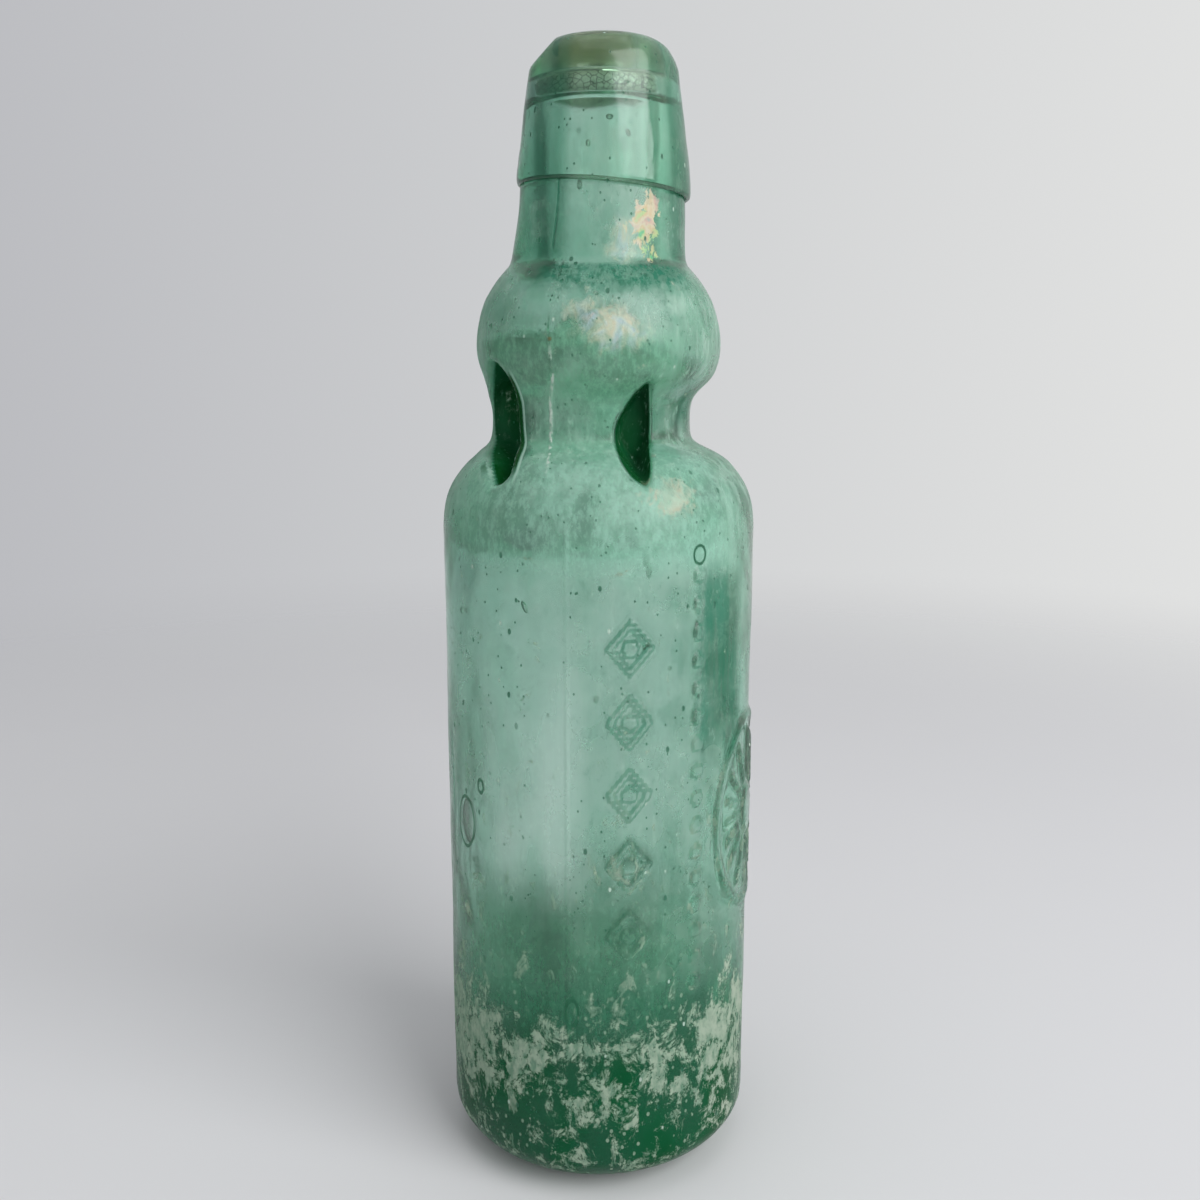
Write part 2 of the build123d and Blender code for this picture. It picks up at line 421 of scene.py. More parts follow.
class Bench:
    """Makes and links the nodes of one tree."""

    def __init__(self, tree: bpy.types.NodeTree) -> None:
        """Starts on an emptied tree."""
        self.tree = tree
        tree.nodes.clear()

    def node(self, kind: str, settings: dict | None = None, inputs: dict | None = None) -> bpy.types.Node:
        """Makes any node.

        Args:
            kind: The node's type.
            settings: Its own settings, and "stops" for a colour ramp.
            inputs: Values or links of its sockets, by name or number.

        Returns:
            The node.
        """
        made = self.tree.nodes.new(kind)
        for name, value in (settings or {}).items():
            if name == "stops":
                self.stops(made.color_ramp, value)
            else:
                setattr(made, name, value)
        for name, value in (inputs or {}).items():
            self.feed(made.inputs[name], value)
        return made

    @staticmethod
    def stops(ramp: bpy.types.ColorRamp, stops: list[tuple[float, Colour]]) -> None:
        """Sets the colours of a ramp."""
        while len(ramp.elements) > 1:
            ramp.elements.remove(ramp.elements[-1])
        for number, (place, colour) in enumerate(stops):
            element = ramp.elements[0] if number == 0 else ramp.elements.new(place)
            element.position = place
            element.color = (*colour, 1)

    def feed(self, socket: bpy.types.NodeSocket, value: object) -> None:
        """Links or sets one socket."""
        if isinstance(value, Value):
            self.tree.links.new(value.socket, socket)
        elif isinstance(value, bpy.types.NodeSocket):
            self.tree.links.new(value, socket)
        elif socket.type == "RGBA" and len(value) == 3:
            socket.default_value = (*value, 1)
        else:
            socket.default_value = value

    def math(self, operation: str, *values: object) -> Value:
        """A Math node of one to three values."""
        made = self.node("ShaderNodeMath", {"operation": operation}, dict(enumerate(values)))
        return Value(self, made.outputs[0])

    def step(self, value: Value, low: float, high: float) -> Value:
        """A smooth rise from 0 at low to 1 at high."""
        made = self.node("ShaderNodeMapRange", {"interpolation_type": "SMOOTHSTEP"},
                         {"Value": value, "From Min": low, "From Max": high})
        return Value(self, made.outputs[0])

    def place(self) -> bpy.types.NodeSocket:
        """Object coordinates."""
        return self.node("ShaderNodeTexCoord").outputs["Object"]

    def axes(self, place: bpy.types.NodeSocket) -> list[Value]:
        """The three coordinates in millimetres."""
        split = self.node("ShaderNodeSeparateXYZ", None, {0: place})
        return [Value(self, split.outputs[axis]) * (1 / MM) for axis in range(3)]

    def surface(self, name: str) -> Value:
        """A field that the mesh carries."""
        return Value(self, self.node("ShaderNodeAttribute", {"attribute_name": name}).outputs["Fac"])

    def noise(self, place: bpy.types.NodeSocket, size: float, detail: float = 4, rough: float = 0.55,
              stretch: Triple = (1, 1, 1), shift: float = 0.0, warp: float = 0.0) -> Value:
        """A noise field.

        Args:
            place: Object coordinates.
            size: The size of its blotches in millimetres.
            detail: How many finer layers it has.
            rough: How strong the finer layers are.
            stretch: Scale along each axis; under 1 draws it out.
            shift: Moves the pattern, for a fresh one.
            warp: How much it curls.

        Returns:
            A value from 0 to 1.
        """
        mapped = self.node("ShaderNodeMapping", None,
                           {"Vector": place, "Scale": stretch, "Location": (shift, shift * 0.7, -shift)})
        made = self.node("ShaderNodeTexNoise", None, {
            "Vector": mapped.outputs[0], "Scale": 1 / (size * MM), "Detail": detail, "Roughness": rough,
            "Distortion": warp})
        return Value(self, made.outputs["Fac"])

    def cells(self, place: bpy.types.NodeSocket, size: float, stretch: Triple = (1, 1, 1),
              shift: float = 0.0) -> tuple[Value, Value]:
        """Scattered dots: the distance to each dot's middle in cells, and a random number for it."""
        mapped = self.node("ShaderNodeMapping", None,
                           {"Vector": place, "Scale": stretch, "Location": (shift, -shift, shift * 0.6)})
        made = self.node("ShaderNodeTexVoronoi", None, {
            "Vector": mapped.outputs[0], "Scale": 1 / (size * MM)})
        split = self.node("ShaderNodeSeparateColor", None, {0: made.outputs["Color"]})
        return Value(self, made.outputs["Distance"]), Value(self, split.outputs[0])

    def near(self, place: bpy.types.NodeSocket, spot: Triple, reach: float, edge: float = 0.0,
             squash: Triple = (1, 1, 1)) -> Value:
        """1 at a spot in millimetres, falling to 0 at its reach; squash shortens it along an axis."""
        apart = self.node("ShaderNodeVectorMath", {"operation": "SUBTRACT"},
                          {0: place, 1: tuple(v * MM for v in spot)})
        scaled = self.node("ShaderNodeVectorMath", {"operation": "MULTIPLY"}, {
            0: apart.outputs[0], 1: squash})
        made = self.node("ShaderNodeVectorMath", {"operation": "LENGTH"}, {0: scaled.outputs[0]})
        return self.step(Value(self, made.outputs["Value"]) * (1 / MM), reach, edge)

    def facing(self, x: Value, y: Value, angle: float, wide: float, core: float) -> Value:
        """1 where the skin's bearing from the axis is within core degrees of an angle, 0 beyond wide."""
        turn = math.radians(angle)
        cosine = (x * math.cos(turn) + y * math.sin(turn)) / (x * x + y * y + 0.01).math("SQRT")
        return self.step(cosine, math.cos(math.radians(wide)), math.cos(math.radians(core)))

    def blend(self, factor: object, first: object, second: object) -> bpy.types.NodeSocket:
        """A colour between two."""
        made = self.node("ShaderNodeMix", {"data_type": "RGBA"}, {0: factor, 6: first, 7: second})
        return made.outputs[2]

    def ramp(self, value: Value, stops: list[tuple[float, Colour]]) -> bpy.types.NodeSocket:
        """A colour picked from stops."""
        return self.node("ShaderNodeValToRGB", {"stops": stops}, {0: value}).outputs[0]

    def layered(self, factor: Value, under: bpy.types.Node, over: bpy.types.Node) -> bpy.types.Node:
        """One finish laid over another."""
        return self.node("ShaderNodeMixShader", None, {0: factor, 1: under.outputs[0], 2: over.outputs[0]})


def azimuth_point(angle: float, radius: float, height: float) -> Triple:
    """A point on the bottle by its angle from +X in degrees."""
    turn = math.radians(angle)
    return (radius * math.cos(turn), radius * math.sin(turn), height)


class Paint:
    """Opaque layers laid one on another, kept as one colour, one cover and one roughness."""

    def __init__(self, bench: Bench, cover: Value, colour: object, rough: float) -> None:
        """Starts with the lowest layer.

        Args:
            bench: The node bench.
            cover: How much the layer hides, from 0 to 1.
            colour: Its colour.
            rough: Its roughness.
        """
        self.bench = bench
        self.cover = cover
        self.colour = colour
        self.rough = bench.math("ADD", cover * 0.0, rough)

    def lay(self, mask: Value, colour: object, rough: float) -> None:
        """Lays one more layer over those before.

        Args:
            mask: Where it lies, from 0 to 1.
            colour: Its colour.
            rough: Its roughness.
        """
        self.cover = 1 - (1 - self.cover) * (1 - mask)
        share = (mask / self.cover.math("MAXIMUM", 0.001)).math("MINIMUM", 1.0)
        self.colour = self.bench.blend(share, self.colour, colour)
        self.rough = self.rough + (rough - self.rough) * share


@dataclass(frozen=True)
class FilmHighlight:
    """A patch of rainbow film or whitish flakes on the outer skin, which also stands as a painted highlight
    where the window lamp's reflection falls.

    The flake field covers more of the patch the nearer a place is to its spot, by pull; level and edge are
    where the cover starts and how soft its border is, and amount is how much it hides at most.
    """

    spot: Triple
    reach: float
    squash: Triple
    edge: float
    level: float
    pull: float
    amount: float
    stops: tuple[tuple[float, Colour], ...]

    def lay(self, bench: Bench, place: bpy.types.NodeSocket, paint: Paint, flake: Value, hue: Value,
            free: Value) -> None:
        """Lays the patch.

        Args:
            bench: The node bench.
            place: Object coordinates.
            paint: The layers so far.
            flake: The field whose high places are covered.
            hue: The field that picks the colours.
            free: 1 where film can lie.
        """
        within = bench.near(place, self.spot, self.reach, 0.0, self.squash)
        mask = bench.step(within * self.pull + flake, self.level - self.edge, self.level + self.edge)
        mask = mask * bench.step(within, 0.0, 0.2) * free * self.amount
        paint.lay(mask, bench.ramp(hue, list(self.stops)), 0.32)


class Ground:
    """Places and fields over one piece of glass, which all of its layers share."""

    def __init__(self, bench: Bench) -> None:
        """Makes the fields.

        Args:
            bench: The node bench.
        """
        self.bench = bench
        self.place = bench.place()
        self.x, self.y, self.z = bench.axes(self.place)
        self.outside = 1 - bench.surface("inside")
        self.patchy = bench.noise(self.place, 5.5, 4, 0.62, shift=0.31, warp=0.5)
        self.cloud = bench.noise(self.place, 15, 3, 0.5, (1, 1, 0.45))
        self.streak = bench.noise(self.place, 1.9, 3, 0.6, (1, 1, 0.06), shift=0.12)
        self.grit = bench.noise(self.place, 1.4, 5, 0.76, (1, 1, 0.55), shift=0.59)
        small, small_draw = bench.cells(self.place, 1.2, (1, 1, 0.75), 0.05)
        large, large_draw = bench.cells(self.place, 3.1, (1, 1, 0.6), 0.47)
        fine_pits = bench.step(small, 0.19, 0.12) * bench.step(small_draw, 0.74, 0.76)
        wide_pits = bench.step(large, 0.14, 0.10) * bench.step(large_draw, 0.70, 0.72)
        self.pits = fine_pits.math("MAXIMUM", wide_pits) * self.outside
        self.dots = bench.step(small, 0.34, 0.22) * bench.step(small_draw, 0.26, 0.24)
        self.specks = bench.step(large, 0.11, 0.07) * bench.step(large_draw, 0.17, 0.15)

    def rise(self, low: float, high: float) -> Value:
        """0 at the height low and 1 at the height high; low may be the greater."""
        return self.bench.step(self.z, low, high)

    def streaked(self, low: float, high: float) -> Value:
        """0 where the upward streaks are at low and 1 where they are at high."""
        return self.bench.step(self.streak, low, high)

    def clouded(self, low: float, high: float) -> Value:
        """0 where the coarse clouds are at low and 1 where they are at high."""
        return self.bench.step(self.cloud, low, high)

    def gritty(self, low: float, high: float) -> Value:
        """0 where the fine grit is at low and 1 where it is at high."""
        return self.bench.step(self.grit, low, high)


@dataclass(frozen=True)
class Zone:
    """A soft-edged stretch of glass: round one bearing from the axis, and between heights."""

    angle: float
    wide: float
    core: float
    heights: tuple[tuple[float, float], ...]

    def mask(self, ground: Ground) -> Value:
        """1 in the zone and 0 beyond it.

        Args:
            ground: The fields of the glass.

        Returns:
            The mask.
        """
        found = ground.bench.facing(ground.x, ground.y, self.angle, self.wide, self.core)
        for low, high in self.heights:
            found = found * ground.rise(low, high)
        return found


class Zones:
    """Where the finish changes, as bearing, outer and inner half width in degrees, and heights."""

    ON_NECK = (181, 185)
    # The limb zones carry painted shade: the limbs are darker where the view runs along the glass.
    LEFT_LIMB = Zone(139, 41, 29, (ON_NECK,))
    RIGHT_LIMB = Zone(268, 24, 15, (ON_NECK,))
    RIGHT_LIMB_CORE = Zone(268, 22, 15, (ON_NECK,))
    # A dark green upright strip of painted shade, where the wall looks thicker.
    DARK_STRIP_SHADE = Zone(246, 16, 8, ((84, 96), (131, 121)))
    DARK_STRIP_SHADE_TINT = Zone(246, 15, 7, ((84, 96), (131, 121)))
    # FLANK carries painted shade: dark streaks low on the left flank, by the dark limb.
    FLANK = Zone(116, 24, 10, ((100, 84),))
    # LEDGE, WAIST_LIMB and DENT_LINE carry painted shade: a dark band under the ledge, the waist's right
    # limb, and a dark line by each dent's near edge.
    LEDGE = Zone(207, 54, 34, ((175.2, 179), (182.6, 181.6)))
    WAIST_LIMB = Zone(261, 16, 2, ((149, 155), (163, 157)))
    DENT_LINE = Zone(154, 18, 13, ((142, 146), (164, 161)))
    DENT_SHADE = Zone(157, 16, 12, ((142, 146), (164, 161)))
    DENT_LIGHT = Zone(157, 16, 12, ((142, 144), (164, 161)))
    WALL_BLOOM = Zone(172, 24, 6, ((58, 74), (122, 96)))
    LIMB_BLOOM = Zone(262, 26, 10, ((122, 138), (183, 176)))
    GLOBE = Zone(187, 62, 34, ((154, 160), (173, 167)))
    WAIST = Zone(190, 40, 20, ((146, 150), (160, 156)))
    SHOULDER = Zone(196, 74, 38, ((124, 131), (149, 145)))
    # FOOT's layer is dark green: painted shade low on the front.
    FOOT = Zone(182, 66, 24, ((28, 44), (70, 52)))
    LEFT_CRUST = Zone(122, 38, 16, ((102, 56),))
    RIGHT_CRUST = Zone(268, 34, 14, ((72, 46),))
    FLECKS = Zone(236, 20, 12, ((140, 144), (166, 162)))
    SEAM_CRACKLE = Zone(176, 10, 7, ((143, 147), (169, 163)))


class DentMarks:
    """What the four dents do to the finish: how far in a place is, where the haze is gone, and where painted
    shade lies in the dents, along their edges and under the ledge.
    """

    def __init__(self, ground: Ground) -> None:
        """Makes the marks.

        Args:
            ground: The fields of the glass.
        """
        bench = ground.bench
        self.rim = bench.surface("rim") - RIM_REACH
        # Inside the dents: painted shade, the near black green of a long path through glass.
        self.within = bench.step(self.rim, 0.0, 0.3) * bench.step(bench.surface("dent"), 0.01, 0.08)
        ledge = Zones.LEDGE.mask(ground) * (0.6 + 0.4 * ground.gritty(0.52, 0.44))
        # Haze gone, and painted shade laid under the ledge and at the waist's limb.
        self.bare_and_shaded = ledge.math("MAXIMUM", Zones.WAIST_LIMB.mask(ground) * 0.85)
        # A painted dark line just inside the near edge of a dent, where the edge bends the light.
        self.edge_shade_line = Zones.DENT_LINE.mask(ground) * self.band(bench, -1.35, -0.35, 0.10)
        covered = bench.step(self.rim, -0.25, 0.25).math("MAXIMUM", self.bare_and_shaded)
        self.free = 1 - covered.math("MAXIMUM", self.edge_shade_line)

    def band(self, bench: Bench, low: float, high: float, edge: float) -> Value:
        """1 between two distances inwards from a dent's edge, in millimetres."""
        return bench.step(self.rim, low - edge, low + edge) * bench.step(self.rim, high + edge, high - edge)


@dataclass(frozen=True)
class WeatheredGlass:
    """Aqua glass that lay in the ground: clear glass under haze, pits and stain."""

    name: str
    absorbed: Colour = (0.17, 0.745, 0.52)
    density: float = 79.0
    refraction: float = 1.5
    haze: tuple[Triple, ...] = ((0.0, 240.0, 0.2),)
    haze_edge: float = 4.0
    haze_pale: Colour = (0.50, 0.72, 0.60)
    haze_deep: Colour = (0.23, 0.48, 0.36)
    frost: Colour = (0.58, 0.78, 0.66)
    worn: Colour = (0.03, 0.16, 0.10)
    pit: Colour = (0.02, 0.13, 0.08)
    speck: Colour = (0.66, 0.80, 0.70)
    glow: Colour = (0.50, 0.80, 0.64)
    glow_share: float = 0.34
    # The two deep greens of painted shade, for places where the view runs through much glass.
    thick_shade: tuple[Colour, Colour] = ((0.004, 0.115, 0.060), (0.012, 0.165, 0.100))
    polish: tuple[float, float] = (0.05, 0.20)
    # How strongly painted shade darkens the limbs, where the view runs along the glass.
    limb_shade_share: float = 0.8
    dome_stain: float = 0.0

    def material(self) -> bpy.types.Material:
        """Builds the node material.

        Returns:
            The material.
        """
        made = bpy.data.materials.new(self.name)
        made.use_nodes = True
        bench = Bench(made.node_tree)
        ground = Ground(bench)
        band = self.haze_amount(ground)
        etched = band * (0.35 + 0.9 * ground.clouded(0.36, 0.64)) * ground.outside
        relief = ground.patchy * 0.35 + ground.streak * 0.3 + ground.grit * (0.2 + 0.8 * etched)
        bump = bench.node("ShaderNodeBump", None, {
            "Strength": 0.45, "Distance": 0.0001, "Height": relief - ground.pits * 2})
        clear = self.clear(ground, etched, bump)
        blotches = band * ground.outside * bench.step(ground.patchy, 0.52, 0.66) * 0.35
        cover = (etched * (0.7 + 0.5 * ground.streaked(0.40, 0.62)) + blotches).math("MINIMUM", 0.8)
        top, paint = self.weathered(ground, clear, bump, cover, etched)
        paint.lay(ground.pits * 0.62, self.pit, 0.3)
        paint.lay(ground.specks * ground.outside * 0.8, self.speck, 0.4)
        bench.node("ShaderNodeOutputMaterial", None, {
            "Surface": bench.layered(paint.cover, top, self.opaque(ground, paint)).outputs[0],
            "Volume": bench.node("ShaderNodeVolumeAbsorption", None, {
                "Color": self.absorbed, "Density": self.density}).outputs[0]})
        return made

    def haze_amount(self, ground: Ground) -> Value:
        """How hazy the glass is at a height, from the stated bands."""
        total = ground.z * 0.0
        for low, high, amount in self.haze:
            starts = ground.rise(low - self.haze_edge, low + self.haze_edge)
            ends = ground.rise(high + self.haze_edge, high - self.haze_edge)
            total = total + starts * ends * amount
        return total

    def clear(self, ground: Ground, etched: Value, bump: bpy.types.Node) -> bpy.types.Node:
        """The clear glass under everything else.

        Args:
            ground: The fields of the glass.
            etched: How strongly the skin is etched.
            bump: The shared bump node.

        Returns:
            The finish.
        """
        low, high = self.polish
        rough = low + (high - low) * ground.bench.step(ground.cloud * 0.6 + ground.patchy * 0.4, 0.36, 0.66)
        return ground.bench.node("ShaderNodeBsdfPrincipled", None, {
            "Base Color": self.tint(ground), "Roughness": rough + etched * 0.45,
            "IOR": self.refraction, "Transmission Weight": 1.0, "Normal": bump.outputs[0]})

    def tint(self, ground: Ground) -> bpy.types.NodeSocket:
        """The colour that the clear glass lets through, with painted shade darkening its limbs.

        Args:
            ground: The fields of the glass.

        Returns:
            The colour.
        """
        bench = ground.bench
        bands = bench.noise(ground.place, 9, 3, 0.55, (1, 1, 0.08), shift=0.63)
        colour = bench.blend(bench.step(bands, 0.48, 0.66) * 0.40, (1.0, 1.0, 1.0), (0.62, 0.84, 0.75))
        # Painted shade: the left and right limbs darker green, where the view runs along the glass.
        for zone, shade in ((Zones.LEFT_LIMB, (0.22, 0.54, 0.41)), (Zones.RIGHT_LIMB, (0.26, 0.58, 0.44))):
            colour = bench.blend(zone.mask(ground) * ground.outside * self.limb_shade_share, colour, shade)
        colour = self.body_tint(ground, bands, colour)
        if self.dome_stain:
            colour = bench.blend(ground.rise(215.5, 219.5) * self.dome_stain, colour, (0.58, 0.50, 0.34))
        return bench.blend(ground.pits * 0.9, colour, (0.02, 0.12, 0.07))

    def body_tint(self, ground: Ground, bands: Value, colour: bpy.types.NodeSocket) -> bpy.types.NodeSocket:
        """The painted shade that the shape of the piece adds to the tint; nothing on a plain piece."""
        return colour

    def weathered(self, ground: Ground, clear: bpy.types.Node, bump: bpy.types.Node, cover: Value,
                  etched: Value) -> tuple[bpy.types.Node, Paint]:
        """Lays the painted shade at the limbs and the haze.

        Args:
            ground: The fields of the glass.
            clear: The clear glass.
            bump: The shared bump node.
            cover: How much the haze hides.
            etched: How strongly the skin is etched.

        Returns:
            The clear glass with its painted shade as one finish, and the layers over it.
        """
        side = self.limb_shade(ground)
        top = self.lay_painted_shade(ground, clear, side, self.thick_shade_colour(ground), bump)
        return top, self.hazed(ground, cover, etched)

    def limb_shade(self, ground: Ground) -> Value:
        """How much painted shade, the deep green of a long path through glass, darkens the limbs."""
        side = Zones.LEFT_LIMB.mask(ground) * 0.34 + Zones.RIGHT_LIMB_CORE.mask(ground) * 0.44
        return side * (0.75 + 0.25 * ground.streaked(0.40, 0.60)) * self.limb_shade_share * 1.25

    def thick_shade_colour(self, ground: Ground) -> bpy.types.NodeSocket:
        """The deep green of painted shade, as a long path through glass shows it, a little cloudy."""
        return ground.bench.blend(ground.clouded(0.40, 0.60), *self.thick_shade)

    @staticmethod
    def lay_painted_shade(ground: Ground, under: bpy.types.Node, mask: Value, colour: bpy.types.NodeSocket,
             bump: bpy.types.Node) -> bpy.types.Node:
        """Lays painted shade, the deep green of a long path through glass, over the clear glass.

        Args:
            ground: The fields of the glass.
            under: The finish below.
            mask: Where the painted shade lies.
            colour: The colour of the painted shade.
            bump: The shared bump node.

        Returns:
            The layered finish.
        """
        lay_painted_shade = ground.bench.node("ShaderNodeBsdfPrincipled", None, {
            "Base Color": colour, "Roughness": 0.25, "Specular IOR Level": 0.03, "Normal": bump.outputs[0]})
        return ground.bench.layered(mask * ground.outside, under, lay_painted_shade)

    def hazed(self, ground: Ground, cover: Value, etched: Value) -> Paint:
        """The haze, with its frosted and worn places."""
        share = ground.bench.step(ground.patchy * 0.6 + ground.grit * 0.4, 0.36, 0.64)
        paint = Paint(ground.bench, cover, ground.bench.blend(share, self.haze_deep, self.haze_pale), 0.45)
        paint.lay(etched * ground.gritty(0.56, 0.66) * 0.75, self.frost, 0.5)
        paint.lay(etched * ground.gritty(0.42, 0.33) * 0.8, self.worn, 0.4)
        return paint

    def opaque(self, ground: Ground, paint: Paint) -> bpy.types.Node:
        """All the laid layers as one finish that lets a little light through."""
        bench = ground.bench
        grain = bench.node("ShaderNodeBump", None, {
            "Strength": 0.6, "Distance": 0.0002,
            "Height": paint.rough * 1.5 + ground.grit * 0.5 - ground.pits})
        over = bench.node("ShaderNodeBsdfPrincipled", None, {
            "Base Color": paint.colour, "Roughness": paint.rough, "Specular IOR Level": 0.35,
            "Normal": grain.outputs[0]})
        glow = bench.node("ShaderNodeBsdfTranslucent", None, {"Color": self.glow})
        return bench.node("ShaderNodeMixShader", None, {
            0: self.glow_share, 1: over.outputs[0], 2: glow.outputs[0]})


@dataclass(frozen=True)
class BodyGlass(WeatheredGlass):
    """The body's glass, with painted shade of thick glass in the dents and at the foot, milky blooms, rainbow
    film that also stands as painted highlights, crust and rust.
    """

    films_and_highlights: tuple[FilmHighlight, ...] = ()
    rust_spots: tuple[tuple[Triple, float], ...] = ()
    rust: Colour = (0.17, 0.10, 0.02)
    # The dark greens of painted shade on the foot, for its thick glass and the floor's shadow.
    foot_shade: tuple[tuple[float, Colour], ...] = (
        (0.34, (0.01, 0.20, 0.03)), (0.46, (0.015, 0.28, 0.12)), (0.56, (0.05, 0.40, 0.25)),
        (0.66, (0.04, 0.30, 0.27)))
    # Painted shadow on the inside of the foot.
    inner_foot_shadow: Colour = (0.01, 0.075, 0.03)
    # The darkest painted shade: inside the dents, on their dark line and low on the foot.
    darkest: tuple[Colour, Colour] = ((0.0, 0.052, 0.006), (0.0, 0.088, 0.024))
    crust: tuple[Colour, Colour] = ((0.17, 0.30, 0.21), (0.44, 0.54, 0.42))
    pale_crust: Colour = (0.60, 0.66, 0.54)

    def body_tint(self, ground: Ground, bands: Value, colour: bpy.types.NodeSocket) -> bpy.types.NodeSocket:
        """Adds painted shade to the tint: the dark green foot, the dark strip, the darker seams, and the dark
        edges of the relief, which are dirt and painted shade both.

        Args:
            ground: The fields of the glass.
            bands: A field drawn out upwards.
            colour: The tint so far.

        Returns:
            The colour.
        """
        bench = ground.bench
        hue = bench.noise(ground.place, 8, 3, 0.6, shift=0.37, warp=0.8)
        # Painted shade: the tint darker green towards the foot, then a dark green foot, for the thick base
        # and the floor's shadow.
        colour = bench.blend(ground.rise(72, 36) * 0.7, colour, (0.40, 0.74, 0.58))
        colour = bench.blend(ground.rise(44, 14) * ground.outside, colour, bench.ramp(hue, list(self.foot_shade)))
        # Painted shade: a dark green upright strip in the tint.
        strip_shade = Zones.DARK_STRIP_SHADE_TINT.mask(ground) * ground.outside * (0.7 + bands * 0.6)
        colour = bench.blend(strip_shade, colour, (0.03, 0.14, 0.08))
        # The relief's edges darker green: dirt along them, and painted shade for the dark outline that they
        # show.
        relief = bench.surface("relief")
        colour = bench.blend(bench.step(relief * (1 - relief), 0.08, 0.22) * 0.92, colour, (0.07, 0.34, 0.23))
        # Painted shade: the seams on the neck darker green, for the line that the ridge shows.
        seam = bench.surface("seam") * ground.rise(180, 184)
        return bench.blend(bench.step(seam, 0.3, 0.8) * 0.8, colour, (0.10, 0.40, 0.28))

    def weathered(self, ground: Ground, clear: bpy.types.Node, bump: bpy.types.Node, cover: Value,
                  etched: Value) -> tuple[bpy.types.Node, Paint]:
        """Lays the painted shade and all the weathering of the body, with painted highlights in the films.

        Args:
            ground: The fields of the glass.
            clear: The clear glass.
            bump: The shared bump node.
            cover: How much the haze hides.
            etched: How strongly the skin is etched.

        Returns:
            The clear glass with its painted shade as one finish, and the layers over it.
        """
        marks = DentMarks(ground)
        top = self.sunk(ground, clear, marks, bump)
        cover = cover * (0.05 + 0.95 * marks.free) * ground.rise(26, 60)
        paint = self.hazed(ground, cover, etched * (0.25 + 0.75 * marks.free))
        self.milked(ground, marks, paint)
        self.shade_bubble_rims(ground, paint)
        flake = ground.bench.noise(ground.place, 2.2, 5, 0.72, (1, 1, 0.75), shift=0.53, warp=0.5)
        hue = ground.bench.noise(ground.place, 3.8, 2, 0.5, (1, 1, 0.7), shift=0.9, warp=1.0)
        # Rainbow film that is partly a painted highlight.
        for film_highlight in self.films_and_highlights:
            film_highlight.lay(ground.bench, ground.place, paint, flake, hue, (1 - ground.pits) * ground.outside)
        # Painted shadow: the inside of the foot darkened.
        inner_foot_shadow_mask = (1 - ground.outside) * ground.rise(27, 19)
        paint.lay(inner_foot_shadow_mask * (0.55 + 0.3 * ground.gritty(0.4, 0.6)), self.inner_foot_shadow, 0.6)
        self.lined(ground, marks, paint)
        self.crusted(ground, paint)
        for spot, reach in self.rust_spots:
            ragged = ground.bench.near(ground.place, spot, reach) + (ground.grit - 0.5) * 0.8
            paint.lay(ground.bench.step(ragged, 0.35, 0.6) * 0.8 * ground.outside, self.rust, 0.6)
        return top, paint

    def sunk(self, ground: Ground, under: bpy.types.Node, marks: DentMarks,
             bump: bpy.types.Node) -> bpy.types.Node:
        """Lays painted shade, the deep green of a long path through glass: in the dents, on their dark line,
        under the ledge, darker towards the foot, along the dark strip and the left flank, on the neck's seam
        and at the limbs.

        Args:
            ground: The fields of the glass.
            under: The finish below.
            marks: What the dents do to the finish.
            bump: The shared bump node.

        Returns:
            The layered finish.
        """
        bench = ground.bench
        varied = 0.72 + 0.40 * ground.clouded(0.60, 0.42)
        # Painted shade, darker towards the foot.
        low = (ground.rise(56, 40) * 0.34 + ground.rise(44, 24) * 0.50).math("MINIMUM", 0.8) * varied
        # Painted shade along the neck's seam.
        seam = bench.step(bench.surface("seam"), 0.45, 0.9) * ground.rise(*Zones.ON_NECK)
        seam = seam * ground.rise(199, 198) * 0.6
        # Painted shade along the dark green upright strip.
        strip_shade = Zones.DARK_STRIP_SHADE.mask(ground) * (0.30 + 0.40 * ground.streaked(0.58, 0.42))
        # Painted shade: dark streaks low on the left flank.
        flank = Zones.FLANK.mask(ground) * ground.streaked(0.40, 0.60) * 0.55
        shade = Zones.DENT_SHADE.mask(ground) * bench.step(marks.rim, -3.8, -1.4) * 0.62
        thick_shade = self.limb_shade(ground)
        for mask in (low, strip_shade, flank, shade, seam, marks.bare_and_shaded * 0.78, marks.edge_shade_line * 0.95,
                     marks.within * 0.98):
            thick_shade = thick_shade.math("MAXIMUM", mask)
        # The darkest painted shade: inside the dents, on their dark line and towards the foot.
        dark = marks.within.math("MAXIMUM", marks.edge_shade_line).math("MAXIMUM", ground.rise(48, 30) * 0.70)
        darkest = bench.blend(ground.clouded(0.35, 0.65), *self.darkest)
        return self.lay_painted_shade(ground, under, thick_shade, bench.blend(dark, self.thick_shade_colour(ground), darkest), bump)

